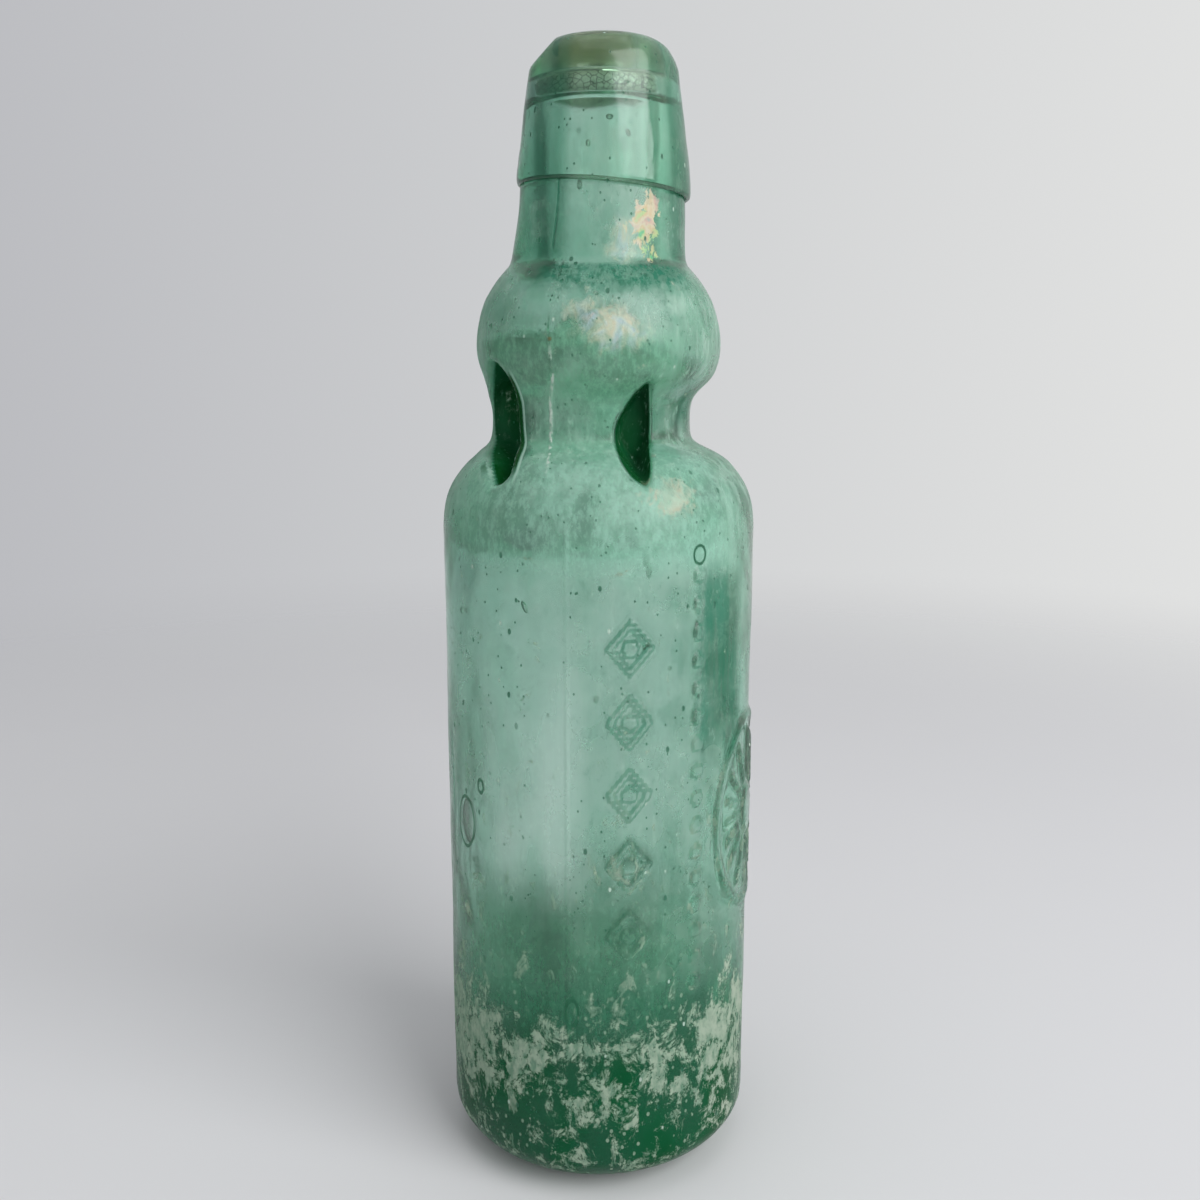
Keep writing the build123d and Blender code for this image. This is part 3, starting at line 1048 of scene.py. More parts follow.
    @staticmethod
    def milked(ground: Ground, marks: DentMarks, paint: Paint) -> None:
        """Lays the milky bloom of the wall, the globe, the waist and the shoulder, and dark green painted
        shade on the foot.

        Args:
            ground: The fields of the glass.
            marks: What the dents do to the finish.
            paint: The layers so far.
        """
        free = ground.outside * marks.free
        varied = 0.58 + 0.22 * ground.clouded(0.40, 0.60) + 0.42 * ground.gritty(0.42, 0.62)
        for zone, texture, amount, colour, rough in (
                (Zones.WALL_BLOOM, ground.clouded(0.30, 0.60), 0.54, (0.68, 0.86, 0.79), 0.3),
                (Zones.LIMB_BLOOM, ground.streaked(0.48, 0.60), 0.26, (0.56, 0.74, 0.65), 0.4),
                (Zones.GLOBE, varied, 0.72, (0.24, 0.56, 0.38), 0.45),
                (Zones.WAIST, varied, 0.40, (0.30, 0.68, 0.48), 0.35),
                (Zones.SHOULDER, varied, 0.70, (0.37, 0.68, 0.54), 0.4),
                # The foot's layer is painted shade, not bloom.
                (Zones.FOOT, varied, 0.42, (0.07, 0.33, 0.18), 0.4)):
            paint.lay(zone.mask(ground) * free * texture * amount, colour, rough)

    @staticmethod
    def shade_bubble_rims(ground: Ground, paint: Paint) -> None:
        """Lays painted shade: the dark outlines that the large bubbles just under the skin show."""
        for angle, height, half, stretch in ((140.0, 74.8, 3.0, 0.60), (150.0, 83.5, 0.75, 0.62),
                                             (233.5, 129.5, 1.3, 0.8), (187.5, 41.0, 1.2, 0.45)):
            spot = azimuth_point(angle, 31.2, height)
            inner = ground.bench.near(ground.place, spot, half - 0.05, half - 0.25, (1, 1, stretch))
            outer = ground.bench.near(ground.place, spot, half + 0.4, half + 0.2, (1, 1, stretch))
            ring = (outer - inner).math("MAXIMUM", 0.0)
            # Painted shade: a dark ring round each large bubble.
            paint.lay(ring * ground.outside * 0.9, (0.01, 0.10, 0.05), 0.3)

    @staticmethod
    def lined(ground: Ground, marks: DentMarks, paint: Paint) -> None:
        """Lays the two bright lines where the near edge of a dent bends the light."""
        where = Zones.DENT_LIGHT.mask(ground) * ground.outside
        for low, high, colour in ((-2.0, -1.55, (0.50, 0.74, 0.62)), (-0.25, 0.05, (0.42, 0.66, 0.54))):
            paint.lay(where * marks.band(ground.bench, low, high, 0.08) * 0.85, colour, 0.2)

    def crusted(self, ground: Ground, paint: Paint) -> None:
        """Lays the lacy lime crust low on the body and the white crackle along the left seam.

        Args:
            ground: The fields of the glass.
            paint: The layers so far.
        """
        bench = ground.bench
        broad = bench.noise(ground.place, 5.2, 7, 0.76, (1, 1, 0.9), shift=0.21, warp=0.4)
        lace = bench.noise(ground.place, 3.4, 4, 0.66, (1, 1, 0.55), shift=0.48, warp=0.5)
        left, right = Zones.LEFT_CRUST.mask(ground), Zones.RIGHT_CRUST.mask(ground)
        low = ground.rise(46, 31) * 0.068 + ground.rise(18, 28) * 0.012 - ground.rise(24, 14) * 0.050
        bias = low + left * 0.040 + right * 0.036 - ground.rise(36, 56) * 0.05
        edge = broad * 0.74 + lace * 0.16 + ground.grit * 0.10 + bias
        crust = bench.step(edge, 0.590, 0.604)
        halo = bench.step(edge, 0.545, 0.60) * 0.40
        vein = bench.step((lace - 0.5).math("ABSOLUTE"), 0.016, 0.006) * bench.step(edge, 0.52, 0.56) * 0.75
        vein = vein * (left + right * 0.8 + ground.rise(48, 36) * 0.7).math("MINIMUM", 1.0)
        dots = ground.dots * ground.rise(62, 30) * 0.75
        relief = bench.surface("relief")
        caught = bench.step(relief * (1 - relief) * 0.5 + lace, 0.60, 0.68) * ground.rise(104, 60) * 0.6
        colour = bench.blend(ground.gritty(0.38, 0.60), *self.crust)
        colour = bench.blend(right * bench.step(broad, 0.5, 0.62) * 0.7, colour, self.pale_crust)
        for mask in (halo, caught, vein, dots, crust * 0.95):
            paint.lay(mask * ground.outside, colour, 0.85)
        flecks = bench.step(ground.grit + lace * 0.5, 0.86, 0.92) * Zones.FLECKS.mask(ground)
        paint.lay(flecks * ground.outside * 0.55, (0.40, 0.62, 0.50), 0.6)
        seam = bench.step(bench.surface("seam"), 0.15, 0.6) * ground.gritty(0.47, 0.56)
        paint.lay(seam * Zones.SEAM_CRACKLE.mask(ground) * ground.outside * 0.9, (0.72, 0.84, 0.75), 0.4)


@dataclass(frozen=True)
class PerishedRubber:
    """Old vulcanised rubber: bleached, chalky and crazed."""

    name: str = "perished_rubber"
    faded: Colour = (0.86, 0.92, 0.76)
    dark: Colour = (0.50, 0.60, 0.46)
    crack: Colour = (0.03, 0.04, 0.03)
    crack_scale: float = 900.0

    def material(self) -> bpy.types.Material:
        """Builds the node material."""
        made = bpy.data.materials.new(self.name)
        made.use_nodes = True
        bench = Bench(made.node_tree)
        place = bench.place()
        blotch = bench.noise(place, 3, 6, 0.6)
        crack = bench.node("ShaderNodeTexVoronoi", {"feature": "DISTANCE_TO_EDGE"}, {
            "Vector": place, "Scale": self.crack_scale})
        line = bench.step(Value(bench, crack.outputs["Distance"]), 0.09, 0.02)
        colour = bench.blend(bench.step(blotch, 0.35, 0.65), self.dark, self.faded)
        colour = bench.blend(line * 0.7, colour, self.crack)
        bump = bench.node("ShaderNodeBump", None, {
            "Strength": 0.6, "Distance": 0.0002, "Height": blotch - line})
        shader = bench.node("ShaderNodeBsdfPrincipled", None, {
            "Base Color": colour, "Roughness": 0.7 + 0.2 * blotch, "Normal": bump.outputs[0]})
        bench.node("ShaderNodeOutputMaterial", None, {"Surface": shader.outputs[0]})
        return made


# Pieces


# A dent's edges by height: the one near the seam and the far one, across the dent.
DENT_EDGES = {
    Side.FRONT: ((140.4, 11.5, 7.4), (141.8, 8.2, 8.3), (142.8, 6.4, 8.9), (143.9, 5.2, 9.2),
                 (146.0, 3.8, 9.4), (148.2, 2.9, 9.4), (150.5, 2.6, 9.4), (152.5, 2.7, 9.5),
                 (154.75, 3.7, 9.5), (157.75, 5.4, 9.4), (159.5, 6.8, 9.3), (161.0, 8.6, 9.2),
                 (162.4, 11.5, 8.8)),
    Side.BACK: ((140.6, 6.5, 3.0), (141.8, 3.2, 4.6), (142.7, 1.6, 5.6), (143.8, 1.1, 7.0), (145.0, 1.6, 8.6),
                (146.25, 2.3, 10.6), (148.5, 3.7, 13.8), (151.0, 4.4, 16.2), (154.0, 4.7, 16.8),
                (157.25, 4.6, 16.2), (160.25, 5.0, 13.8), (162.3, 6.0, 12.2), (163.75, 7.4, 11.2),
                (165.6, 11.5, 9.4)),
}


@dataclass(frozen=True)
class Relief:
    """The raised pattern on the wall: a medallion with a fan, columns of lozenges and rows of beads."""

    medallion_height: float = 75.0
    medallion_half: tuple[float, float] = (14.2, 19.7)
    heart_half: tuple[float, float] = (3.4, 4.6)
    fan_outer: tuple[float, float] = (11.5, 17.0)
    fan_inner: tuple[float, float] = (5.4, 6.6)
    rays: int = 16
    lozenge_bearing: float = 62.5
    lozenge_half: tuple[float, float] = (4.6, 5.4)
    first_lozenge: float = 43.0
    lozenge_pitch: float = 14.0
    lozenges: int = 6
    bead_bearing: float = 36.5
    bead_run: tuple[float, float] = (44.7, 126.0)
    bead_pitch: float = 5.4

    @staticmethod
    def ridge(gap: np.ndarray, half: float, edge: float = 0.55) -> np.ndarray:
        """A rounded line about a zero gap."""
        return ease(np.abs(gap), half + edge, max(half - edge, 0.0))

    @staticmethod
    def oval(across: np.ndarray, up: np.ndarray, half: tuple[float, float]) -> np.ndarray:
        """Distance from an oval's middle, as a share of its half width and height."""
        return np.hypot(across / half[0], up / half[1])

    def medallion(self, across: np.ndarray, up: np.ndarray) -> np.ndarray:
        """The oval rim, the oval at its heart and the fan of ribs between them.

        Args:
            across: Distances along the wall from the panel's middle.
            up: Heights over the medallion's middle.

        Returns:
            The share of the relief's height.
        """
        apart = np.hypot(across, up) + 1e-6
        rim = self.oval(across, up, self.medallion_half)
        total = self.ridge((rim - 1) * apart / np.maximum(rim, 0.05), 0.75)
        heart = self.oval(across, up, self.heart_half)
        total = np.maximum(total, self.ridge(np.maximum((heart - 1) * 3.6, 0), 0.3))
        turn = np.arctan2(up, across) * self.rays / (2 * math.pi)
        ray = apart * np.sin((turn - np.round(turn)) * 2 * math.pi / self.rays)
        span = ease(self.oval(across, up, self.fan_outer), 1.04, 0.96)
        span = span * ease(self.oval(across, up, self.fan_inner), 0.94, 1.06)
        return np.maximum(total, self.ridge(ray, 0.6) * span)

    def share(self, angle: np.ndarray, z: np.ndarray, wall_radius: float) -> np.ndarray:
        """The whole pattern, from 0 to 1.

        Args:
            angle: Angles from the front panel's middle, in radians.
            z: Heights.
            wall_radius: The radius of the wall that carries it.

        Returns:
            The share of the relief's height.
        """
        across = wall_radius * angle
        total = self.medallion(across, z - self.medallion_height)
        for way in (-1, 1):
            wide = across - way * math.radians(self.lozenge_bearing) * wall_radius
            for height in self.first_lozenge + self.lozenge_pitch * np.arange(self.lozenges):
                up = z - height
                line = (np.abs(wide) / self.lozenge_half[0] + np.abs(up) / self.lozenge_half[1] - 1) * 3.5
                total = np.maximum(total, self.ridge(line + 0.6, 0.5))
                total = np.maximum(total, self.ridge(np.maximum(np.hypot(wide, up) - 1.1, 0), 0.3))
            narrow = across - way * math.radians(self.bead_bearing) * wall_radius
            for height in np.arange(*self.bead_run, self.bead_pitch):
                bead = np.hypot(narrow, z - height)
                total = np.maximum(total, self.ridge(np.maximum(bead - 1.0, 0), 0.3))
        return total


@dataclass
class BlownBody:
    """The blown glass body: base, wall with relief, shoulder, pinched waist, chamber and neck."""

    columns: int = 344
    wall_radius: float = 31.4
    inner_radius: float = 26.3
    bore_radius: float = 9.9
    push_up_radius: float = 11.0
    push_up_height: float = 4.0
    push_up_bow: float = 17.13
    heel_height: float = 10.0
    waist_height: float = 151.2
    chamber_height: float = 167.3
    chamber_radius: float = 19.2
    neck_end: float = 197.65
    dent_angle: float = 18.0
    dent_floor: float = 12.3
    dent_wall_slope: float = 6.0
    dent_full_depth: float = 5.0
    swelling_floor: float = 7.0
    swelling_half: float = 11.2
    swelling_back_rise: float = 1.0
    swelling_back_more: float = 1.3
    swelling_slopes: tuple[float, float] = (3.2, 1.9)
    relief: Relief = Relief()
    relief_height: float = 0.6
    seam_height: float = 0.13
    seam_half: float = 0.55
    skirt_slope: float = 0.08
    neck_lean: float = 0.75
    waist_lean: float = 1.6
    post_hollow: float = 0.7
    widest: Triple = (31.46, 31.48, 32.08)
    seed_density: float = 3900.0

    def outer_line(self) -> np.ndarray:
        """The outer outline from the push-up's middle to the neck's top, as radius and height."""
        bow, wall = self.push_up_bow, self.wall_radius
        push_up = [(r, self.push_up_height - bow + math.sqrt(bow ** 2 - r * r))
                   for r in np.linspace(0, self.push_up_radius, 12)]
        heel = [(wall - 14.8 + 14.8 * math.sin(t) ** 1.12, self.heel_height * (1 - math.cos(t) ** 1.12))
                for t in np.linspace(0, math.pi / 2, 20)]
        shoulder = [(wall, 128), (31.38, 132.4), (31.2, 134.8), (30.9, 136.9), (30.3, 139), (29.35, 141.1),
                    (27.9, 143.2), (26.2, 145.2), (25.0, 146.1), (23.4, 147.3), (21.4, 148.4)]
        waist = [(20.25, 149.4), (19.95, 150.6), (19.85, 152.8), (19.85, 155), (20.2, 157.2), (21.2, 159.3)]
        chamber = [(22.45, 161.1), (23.35, 163.1), (23.95, 165.1), (24.2, self.chamber_height),
                   (24.15, 169.3), (23.85, 171.4), (23.2, 174.2), (22.3, 176.6), (21.15, 178.6),
                   (19.95, 180.3), (18.9, 181.5)]
        neck = [(18.35, 182.2), (17.9, 182.5), (17.5, 183.0), (17.1, 184.2), (16.85, 186.3), (16.5, 190),
                (16.2, 193.8), (15.97, self.neck_end - 0.15), (15.85, self.neck_end),
                (self.bore_radius + 0.1, self.neck_end)]
        return soften(push_up + heel + [(wall, 60)] + shoulder + waist + chamber + neck, 0.9)

    def inner_line(self) -> np.ndarray:
        """The inner outline from the neck's top down to the floor's middle."""
        chamber = [(self.chamber_radius * math.cos(t),
                    self.chamber_height + (17 if t > 0 else 12.3) * math.sin(t))
                   for t in np.linspace(1.02, -0.5, 26)]
        waist = [(15.6, 158), (14.9, 154.6), (14.6, 151.6), (15.1, 149), (16.9, 146), (19.6, 142.6),
                 (22.1, 139.0), (24.0, 134.8), (25.2, 130.2), (25.9, 125.0)]
        heel = [(18.3 + 8 * math.cos(t), 19 - 8 * math.sin(t)) for t in np.linspace(0, math.pi / 2, 12)]
        corners = [(self.bore_radius, self.neck_end - 0.1), (self.bore_radius, 183)] + chamber + waist
        corners += [(self.inner_radius, 116), (self.inner_radius, 80)] + heel + [(0, 11)]
        return soften(corners, 3.4)

    def angles(self) -> np.ndarray:
        """The columns' angles, closest at the dents, the relief and the seams."""
        stretches = [(300, 345, 0.80), (195, 240, 0.80), (15, 62, 0.98), (118, 165, 0.98), (238, 302, 1.02)]
        stretches += [(184.0, 188.4, 0.5), (173.3, 177.7, 0.5), (164.5, 169.5, 0.7), (358, 2, 0.5)]
        return spread(stretches, 1.75, self.columns)

    @staticmethod
    def outer_stride(radius: float, height: float) -> float:
        """The spacing of the outer rows at a place on the outline."""
        for limit, stride in ((1.5, 2.3), (10, 1.5), (33, 2.0), (131, 1.02), (184, 0.84)):
            if height < limit:
                return stride
        return 1.3 if radius > 15.9 else 1.2

    def dent(self, x: np.ndarray, y: np.ndarray, z: np.ndarray, side: Side) -> tuple[np.ndarray, np.ndarray]:
        """How far the outer skin is pushed in by the dents of one side, along their own direction.

        Args:
            x: Distances from the axis towards a seam, all positive.
            y: Distances towards this side, negative on the other.
            z: Heights.
            side: Which pair of dents.

        Returns:
            The push, 0 or more, and the distance inwards from the dent's edge.
        """
        turn = math.radians(self.dent_angle)
        along = x * math.cos(turn) + y * math.sin(turn)
        across = -x * math.sin(turn) + y * math.cos(turn)
        near, far = (self.edge_gap(across, z, column, side) for column in (1, 2))
        inside = smooth_least(near, far, 0.5)
        push = smooth_least(inside * self.dent_wall_slope, along - self.dent_floor, 1.8)
        return smooth_most(push, np.zeros_like(push), 0.5), inside

    @staticmethod
    def edge_gap(across: np.ndarray, z: np.ndarray, column: int, side: Side) -> np.ndarray:
        """How far a place lies inside one edge of a dent.

        Args:
            across: Distances across the dent.
            z: Heights.
            column: 1 for the edge near the seam, 2 for the far one.
            side: Which pair of dents.

        Returns:
            The distance square to the edge, in millimetres.
        """
        table = np.array(DENT_EDGES[side])
        edge = sum(np.interp(z + shift, table[:, 0], table[:, column]) for shift in (-0.7, 0, 0.7)) / 3
        slope = (np.interp(z + 0.8, table[:, 0], table[:, column])
                 - np.interp(z - 0.8, table[:, 0], table[:, column])) / 1.6
        gap = across - edge if column == 1 else edge - across
        return gap / np.sqrt(1 + slope * slope)

    def swell(self, x: np.ndarray, y: np.ndarray, z: np.ndarray, side: Side) -> np.ndarray:
        """The greatest radius that the swellings inside leave free, by place.

        Args:
            x: Distances towards a seam, all positive.
            y: Distances towards this side.
            z: Heights.
            side: Which pair of swellings.

        Returns:
            The radius in millimetres.
        """
        turn = np.arctan2(y, x) - math.radians(self.dent_angle)
        plane = self.swelling_floor / np.maximum(np.cos(turn), 0.22)
        back = side is Side.BACK
        height = z - self.waist_height - (self.swelling_back_rise if back else 0.0)
        half = self.swelling_half + (self.swelling_back_more if back else 0.0)
        above, below = self.swelling_slopes
        return plane + np.where(height > 0, above, below) * np.maximum(np.abs(height) - half, 0)

    def seams(self, radius: np.ndarray, z: np.ndarray, turn: np.ndarray) -> np.ndarray:
        """How much of a mould seam there is at each place, from 0 to 1.

        Args:
            radius: Distances from the axis.
            z: Heights.
            turn: Angles from +X in radians.

        Returns:
            The share of the seams' height.
        """
        left = 186.2 - ease(z, 134, 146) * 10.7 - ease(z, 182, 186) * 8.5
        seam = np.zeros_like(radius)
        for bearing in (left, np.zeros_like(left)):
            gap = (np.degrees(turn) - bearing + 180) % 360 - 180
            line = ease(np.abs(np.radians(gap)) * radius, self.seam_half, 0.0)
            seam = np.maximum(seam, line * ease(z, 8, 14))
        return seam

    def dented(self, x: np.ndarray, y: np.ndarray,
               z: np.ndarray) -> tuple[np.ndarray, np.ndarray, np.ndarray, np.ndarray]:
        """Pushes the four dents into the outer skin.

        Args:
            x: Distances towards the right seam.
            y: Distances towards the back.
            z: Heights.

        Returns:
            The new x and y, how far each place is in a dent, and its distance inwards from the edge.
        """
        depth = np.zeros_like(x)
        rim = np.full_like(x, -RIM_REACH)
        turn = math.radians(self.dent_angle)
        for side in Side:
            push, within = self.dent(np.abs(x), y * side.value, z, side)
            reached = (z > 136) & (z < 172) & (y * side.value > -1)
            push = np.where(reached, push, 0.0)
            rim = np.maximum(rim, np.where(reached, within, -RIM_REACH))
            x = x - np.sign(x) * push * math.cos(turn)
            y = y - side.value * push * math.sin(turn)
            depth = np.maximum(depth, np.clip(push / self.dent_full_depth, 0, 1))
        return x, y, depth, rim

    def outer_skin(self, line: np.ndarray, angles: np.ndarray) -> tuple[np.ndarray, dict[str, np.ndarray]]:
        """The outer points with the relief, seams and dents.

        Args:
            line: Radius and height, row by row.
            angles: The columns' angles.

        Returns:
            The points, and by name how far each one is in a dent, on the relief, on a seam and from a
            dent's edge.
        """
        radius, z, turn, flat = turned(line, angles)
        radius += ease(radius, 4, 16) * (0.07 * waves(flat, 24, 3) + 0.025 * waves(flat, 6, 4))
        from_front = (turn + math.pi / 2 + math.pi) % (2 * math.pi) - math.pi
        relief = self.relief.share(from_front, z, self.wall_radius) * ease(z, 30, 34) * ease(z, 134, 130)
        radius += self.relief_height * relief
        seam = self.seams(radius, z, turn)
        radius += self.seam_height * seam
        post = ease(z, 145.5, 150) * ease(z, 162.5, 157)
        from_seam = np.degrees(np.arctan2(np.abs(np.sin(turn)), np.abs(np.cos(turn))))
        hollow = np.exp(-((from_seam - 90) / 16) ** 2) * ease(np.sin(turn), 0.1, 0.5)
        radius -= post * self.post_hollow * hollow
        x, y = radius * np.cos(turn), radius * np.sin(turn) + self.waist_lean * post
        x, y, depth, rim = self.dented(x, y, z)
        z = z - ease(z, 189, 196.5) * self.skirt_slope * (LEAN_X * x + LEAN_Y * y)
        lean = self.neck_lean * ease(z, 183.5, 196) * ease(radius, 12, 15)
        side, wide, front = self.widest
        x, y = np.clip(x + LEAN_X * lean, -side, wide), np.clip(y + LEAN_Y * lean, -front, wide)
        marks = {"dent": depth, "relief": relief, "seam": seam,
                 "rim": np.clip(rim, -RIM_REACH, RIM_REACH) + RIM_REACH}
        return np.stack([x, y, z], axis=-1), marks

    def inner_skin(self, line: np.ndarray, angles: np.ndarray) -> np.ndarray:
        """The inner points with the swellings of the dents.

        Args:
            line: Radius and height, row by row.
            angles: The columns' angles.

        Returns:
            The points.
        """
        radius, z, turn, flat = turned(line, angles)
        radius += ease(radius, 10.5, 18) * (0.42 * waves(flat, 34, 11) + 0.10 * waves(flat, 9, 12))
        waist = (z > 122) & (z < 178)
        for side in Side:
            x, y = radius * np.cos(turn), radius * np.sin(turn)
            limit = self.swell(np.abs(x), y * side.value, z, side)
            radius = np.where(waist, smooth_least(radius, limit, 3.0), radius)
        across = radius * (LEAN_X * np.cos(turn) + LEAN_Y * np.sin(turn))
        z = z - ease(z, 189, 196.5) * self.skirt_slope * across
        return np.stack([radius * np.cos(turn), radius * np.sin(turn), z], axis=-1)

    def bubbles(self) -> list[Bubble]:
        """The few large bubbles that are seen one by one."""
        return [Bubble(140.0, 74.8, 29.8, 0.4, 2.7, 4.7, 0), Bubble(150.0, 83.5, 29.6, 0.4, 0.55, 1.0, 12),
                Bubble(214.0, 129.0, 29.4, 0.4, 0.6, 1.3, -20), Bubble(187.0, 36.0, 29.0, 0.5, 0.8, 1.6, 5),
                Bubble(170.0, 120.0, 29.3, 0.4, 0.5, 1.2, 25)]

    def build(self) -> bpy.types.Object:
        """Makes the body's mesh.

        Returns:
            The finished object.
        """
        outer = pace(self.outer_line(), self.outer_stride)
        inner = pace(self.inner_line(), lambda r, z: 1.4 if z > 125 else 2.4)
        angles = self.angles()
        outside, marks = self.outer_skin(outer, angles)
        within = self.inner_skin(inner[1:], angles)
        radii, heights = outer[:, 0], outer[:, 1]
        sparse = (heights < 33) | ((heights > 184) & (radii < 15.9))
        coarse = np.concatenate([sparse, np.ones(len(within), dtype=bool)])
        points = np.concatenate([outside, within])
        zone = np.zeros(len(points), dtype=bool)
        zone[:len(outer)] = (heights > 138) & (heights < 172)
        nothing = np.zeros(within.shape[:2])
        fields = {name: np.concatenate([grid, nothing]) for name, grid in marks.items()}
        fields["inside"] = np.concatenate([np.zeros(outside.shape[:2]), nothing + 1])
        skin = Skin(self.ironed(points, zone), coarse, fields=fields)
        return as_piece("blown_body", skin.mesh("blown_body", self.bubbles()))

    @staticmethod
    def ironed(points: np.ndarray, zone: np.ndarray, passes: int = 2) -> np.ndarray:
        """Evens out the steps that steep dent walls leave in the grid.

        Args:
            points: All rows and columns.
            zone: The rows to even out.
            passes: How often.

        Returns:
            The points, with those rows evened.
        """
        result = points.copy()
        rows = np.where(zone)[0]
        for _ in range(passes):
            around = (np.roll(result, 1, axis=1) + np.roll(result, -1, axis=1))[rows]
            beside = result[rows - 1] + result[rows + 1]
            result[rows] = 0.5 * result[rows] + 0.15 * around + 0.10 * beside
        return result


class SeedScatter:
    """Strews small bubbles through the glass under both skins."""

    def __init__(self, finish: bpy.types.Material) -> None:
        """Builds the node tree.

        Args:
            finish: The glass that the whole result gets.
        """
        self.tree = bpy.data.node_groups.new("seed_scatter", "GeometryNodeTree")
        face = self.tree.interface
        face.new_socket("Geometry", in_out="OUTPUT", socket_type="NodeSocketGeometry")
        face.new_socket("Geometry", in_out="INPUT", socket_type="NodeSocketGeometry")
        self.inputs = {}
        for name, kind in (("Density", "NodeSocketFloat"), ("Seed", "NodeSocketInt"),
                           ("Least depth", "NodeSocketFloat"), ("Greatest depth", "NodeSocketFloat"),
                           ("Least radius", "NodeSocketFloat"), ("Greatest radius", "NodeSocketFloat")):
            self.inputs[name] = face.new_socket(name, in_out="INPUT", socket_type=kind).identifier
        bench = Bench(self.tree)
        source = bench.node("NodeGroupInput").outputs
        scatter = bench.node("GeometryNodeDistributePointsOnFaces", {"distribute_method": "RANDOM"}, {
            "Mesh": source["Geometry"], "Density": source["Density"], "Seed": source["Seed"]})
        depth = bench.node("FunctionNodeRandomValue", {"data_type": "FLOAT"}, {
            2: source["Least depth"], 3: source["Greatest depth"], "Seed": 5})
        inward = bench.node("ShaderNodeVectorMath", {"operation": "SCALE"}, {
            0: scatter.outputs["Normal"], "Scale": bench.math("MULTIPLY", depth.outputs[1], -1.0)})
        sunk = bench.node("GeometryNodeSetPosition", None, {
            "Geometry": scatter.outputs["Points"], "Offset": inward.outputs[0]})
        draw = bench.node("FunctionNodeRandomValue", {"data_type": "FLOAT"}, {2: 0.0, 3: 1.0, "Seed": 9})
        rare = Value(bench, draw.outputs[1]) ** 5
        size = (rare * bench.math("SUBTRACT", source["Greatest radius"], source["Least radius"])
                + source["Least radius"])
        drawn = bench.node("FunctionNodeRandomValue", {"data_type": "FLOAT"}, {2: 1.1, 3: 2.6, "Seed": 13})
        scale = bench.node("ShaderNodeCombineXYZ", None, {0: size, 1: size, 2: size * drawn.outputs[1]})
        ball = bench.node("GeometryNodeMeshIcoSphere", None, {"Radius": 1.0, "Subdivisions": 2})
        smooth = bench.node("GeometryNodeSetShadeSmooth", None, {"Geometry": ball.outputs[0]})
        hollow = bench.node("GeometryNodeFlipFaces", None, {0: smooth.outputs[0]})
        strewn = bench.node("GeometryNodeInstanceOnPoints", None, {
            "Points": sunk.outputs[0], "Instance": hollow.outputs[0], "Scale": scale.outputs[0]})
        real = bench.node("GeometryNodeRealizeInstances", None, {0: strewn.outputs[0]})
        joined = bench.node("GeometryNodeJoinGeometry")
        for part in (real.outputs[0], source["Geometry"]):
            self.tree.links.new(part, joined.inputs[0])
        dressed = bench.node("GeometryNodeSetMaterial", None, {0: joined.outputs[0], "Material": finish})
        bench.node("NodeGroupOutput", None, {0: dressed.outputs[0]})

    def strew(self, piece: bpy.types.Object, density: float, seed: int, depth: tuple[float, float],
              radius: tuple[float, float]) -> bpy.types.Object:
        """Strews the bubbles of one piece.

        Args:
            piece: The glass piece.
            density: Bubbles to a square metre of skin.
            seed: Fixes where they fall.
            depth: Least and greatest depth in millimetres.
            radius: Least and greatest radius in millimetres.

        Returns:
            The piece, with the bubbles in its own mesh.
        """
        modifier = piece.modifiers.new("seeds", "NODES")
        modifier.node_group = self.tree
        for name, value in (("Density", density), ("Seed", seed), ("Least depth", depth[0] * MM),
                            ("Greatest depth", depth[1] * MM), ("Least radius", radius[0] * MM),
                            ("Greatest radius", radius[1] * MM)):
            modifier[self.inputs[name]] = value
        return settle(piece)


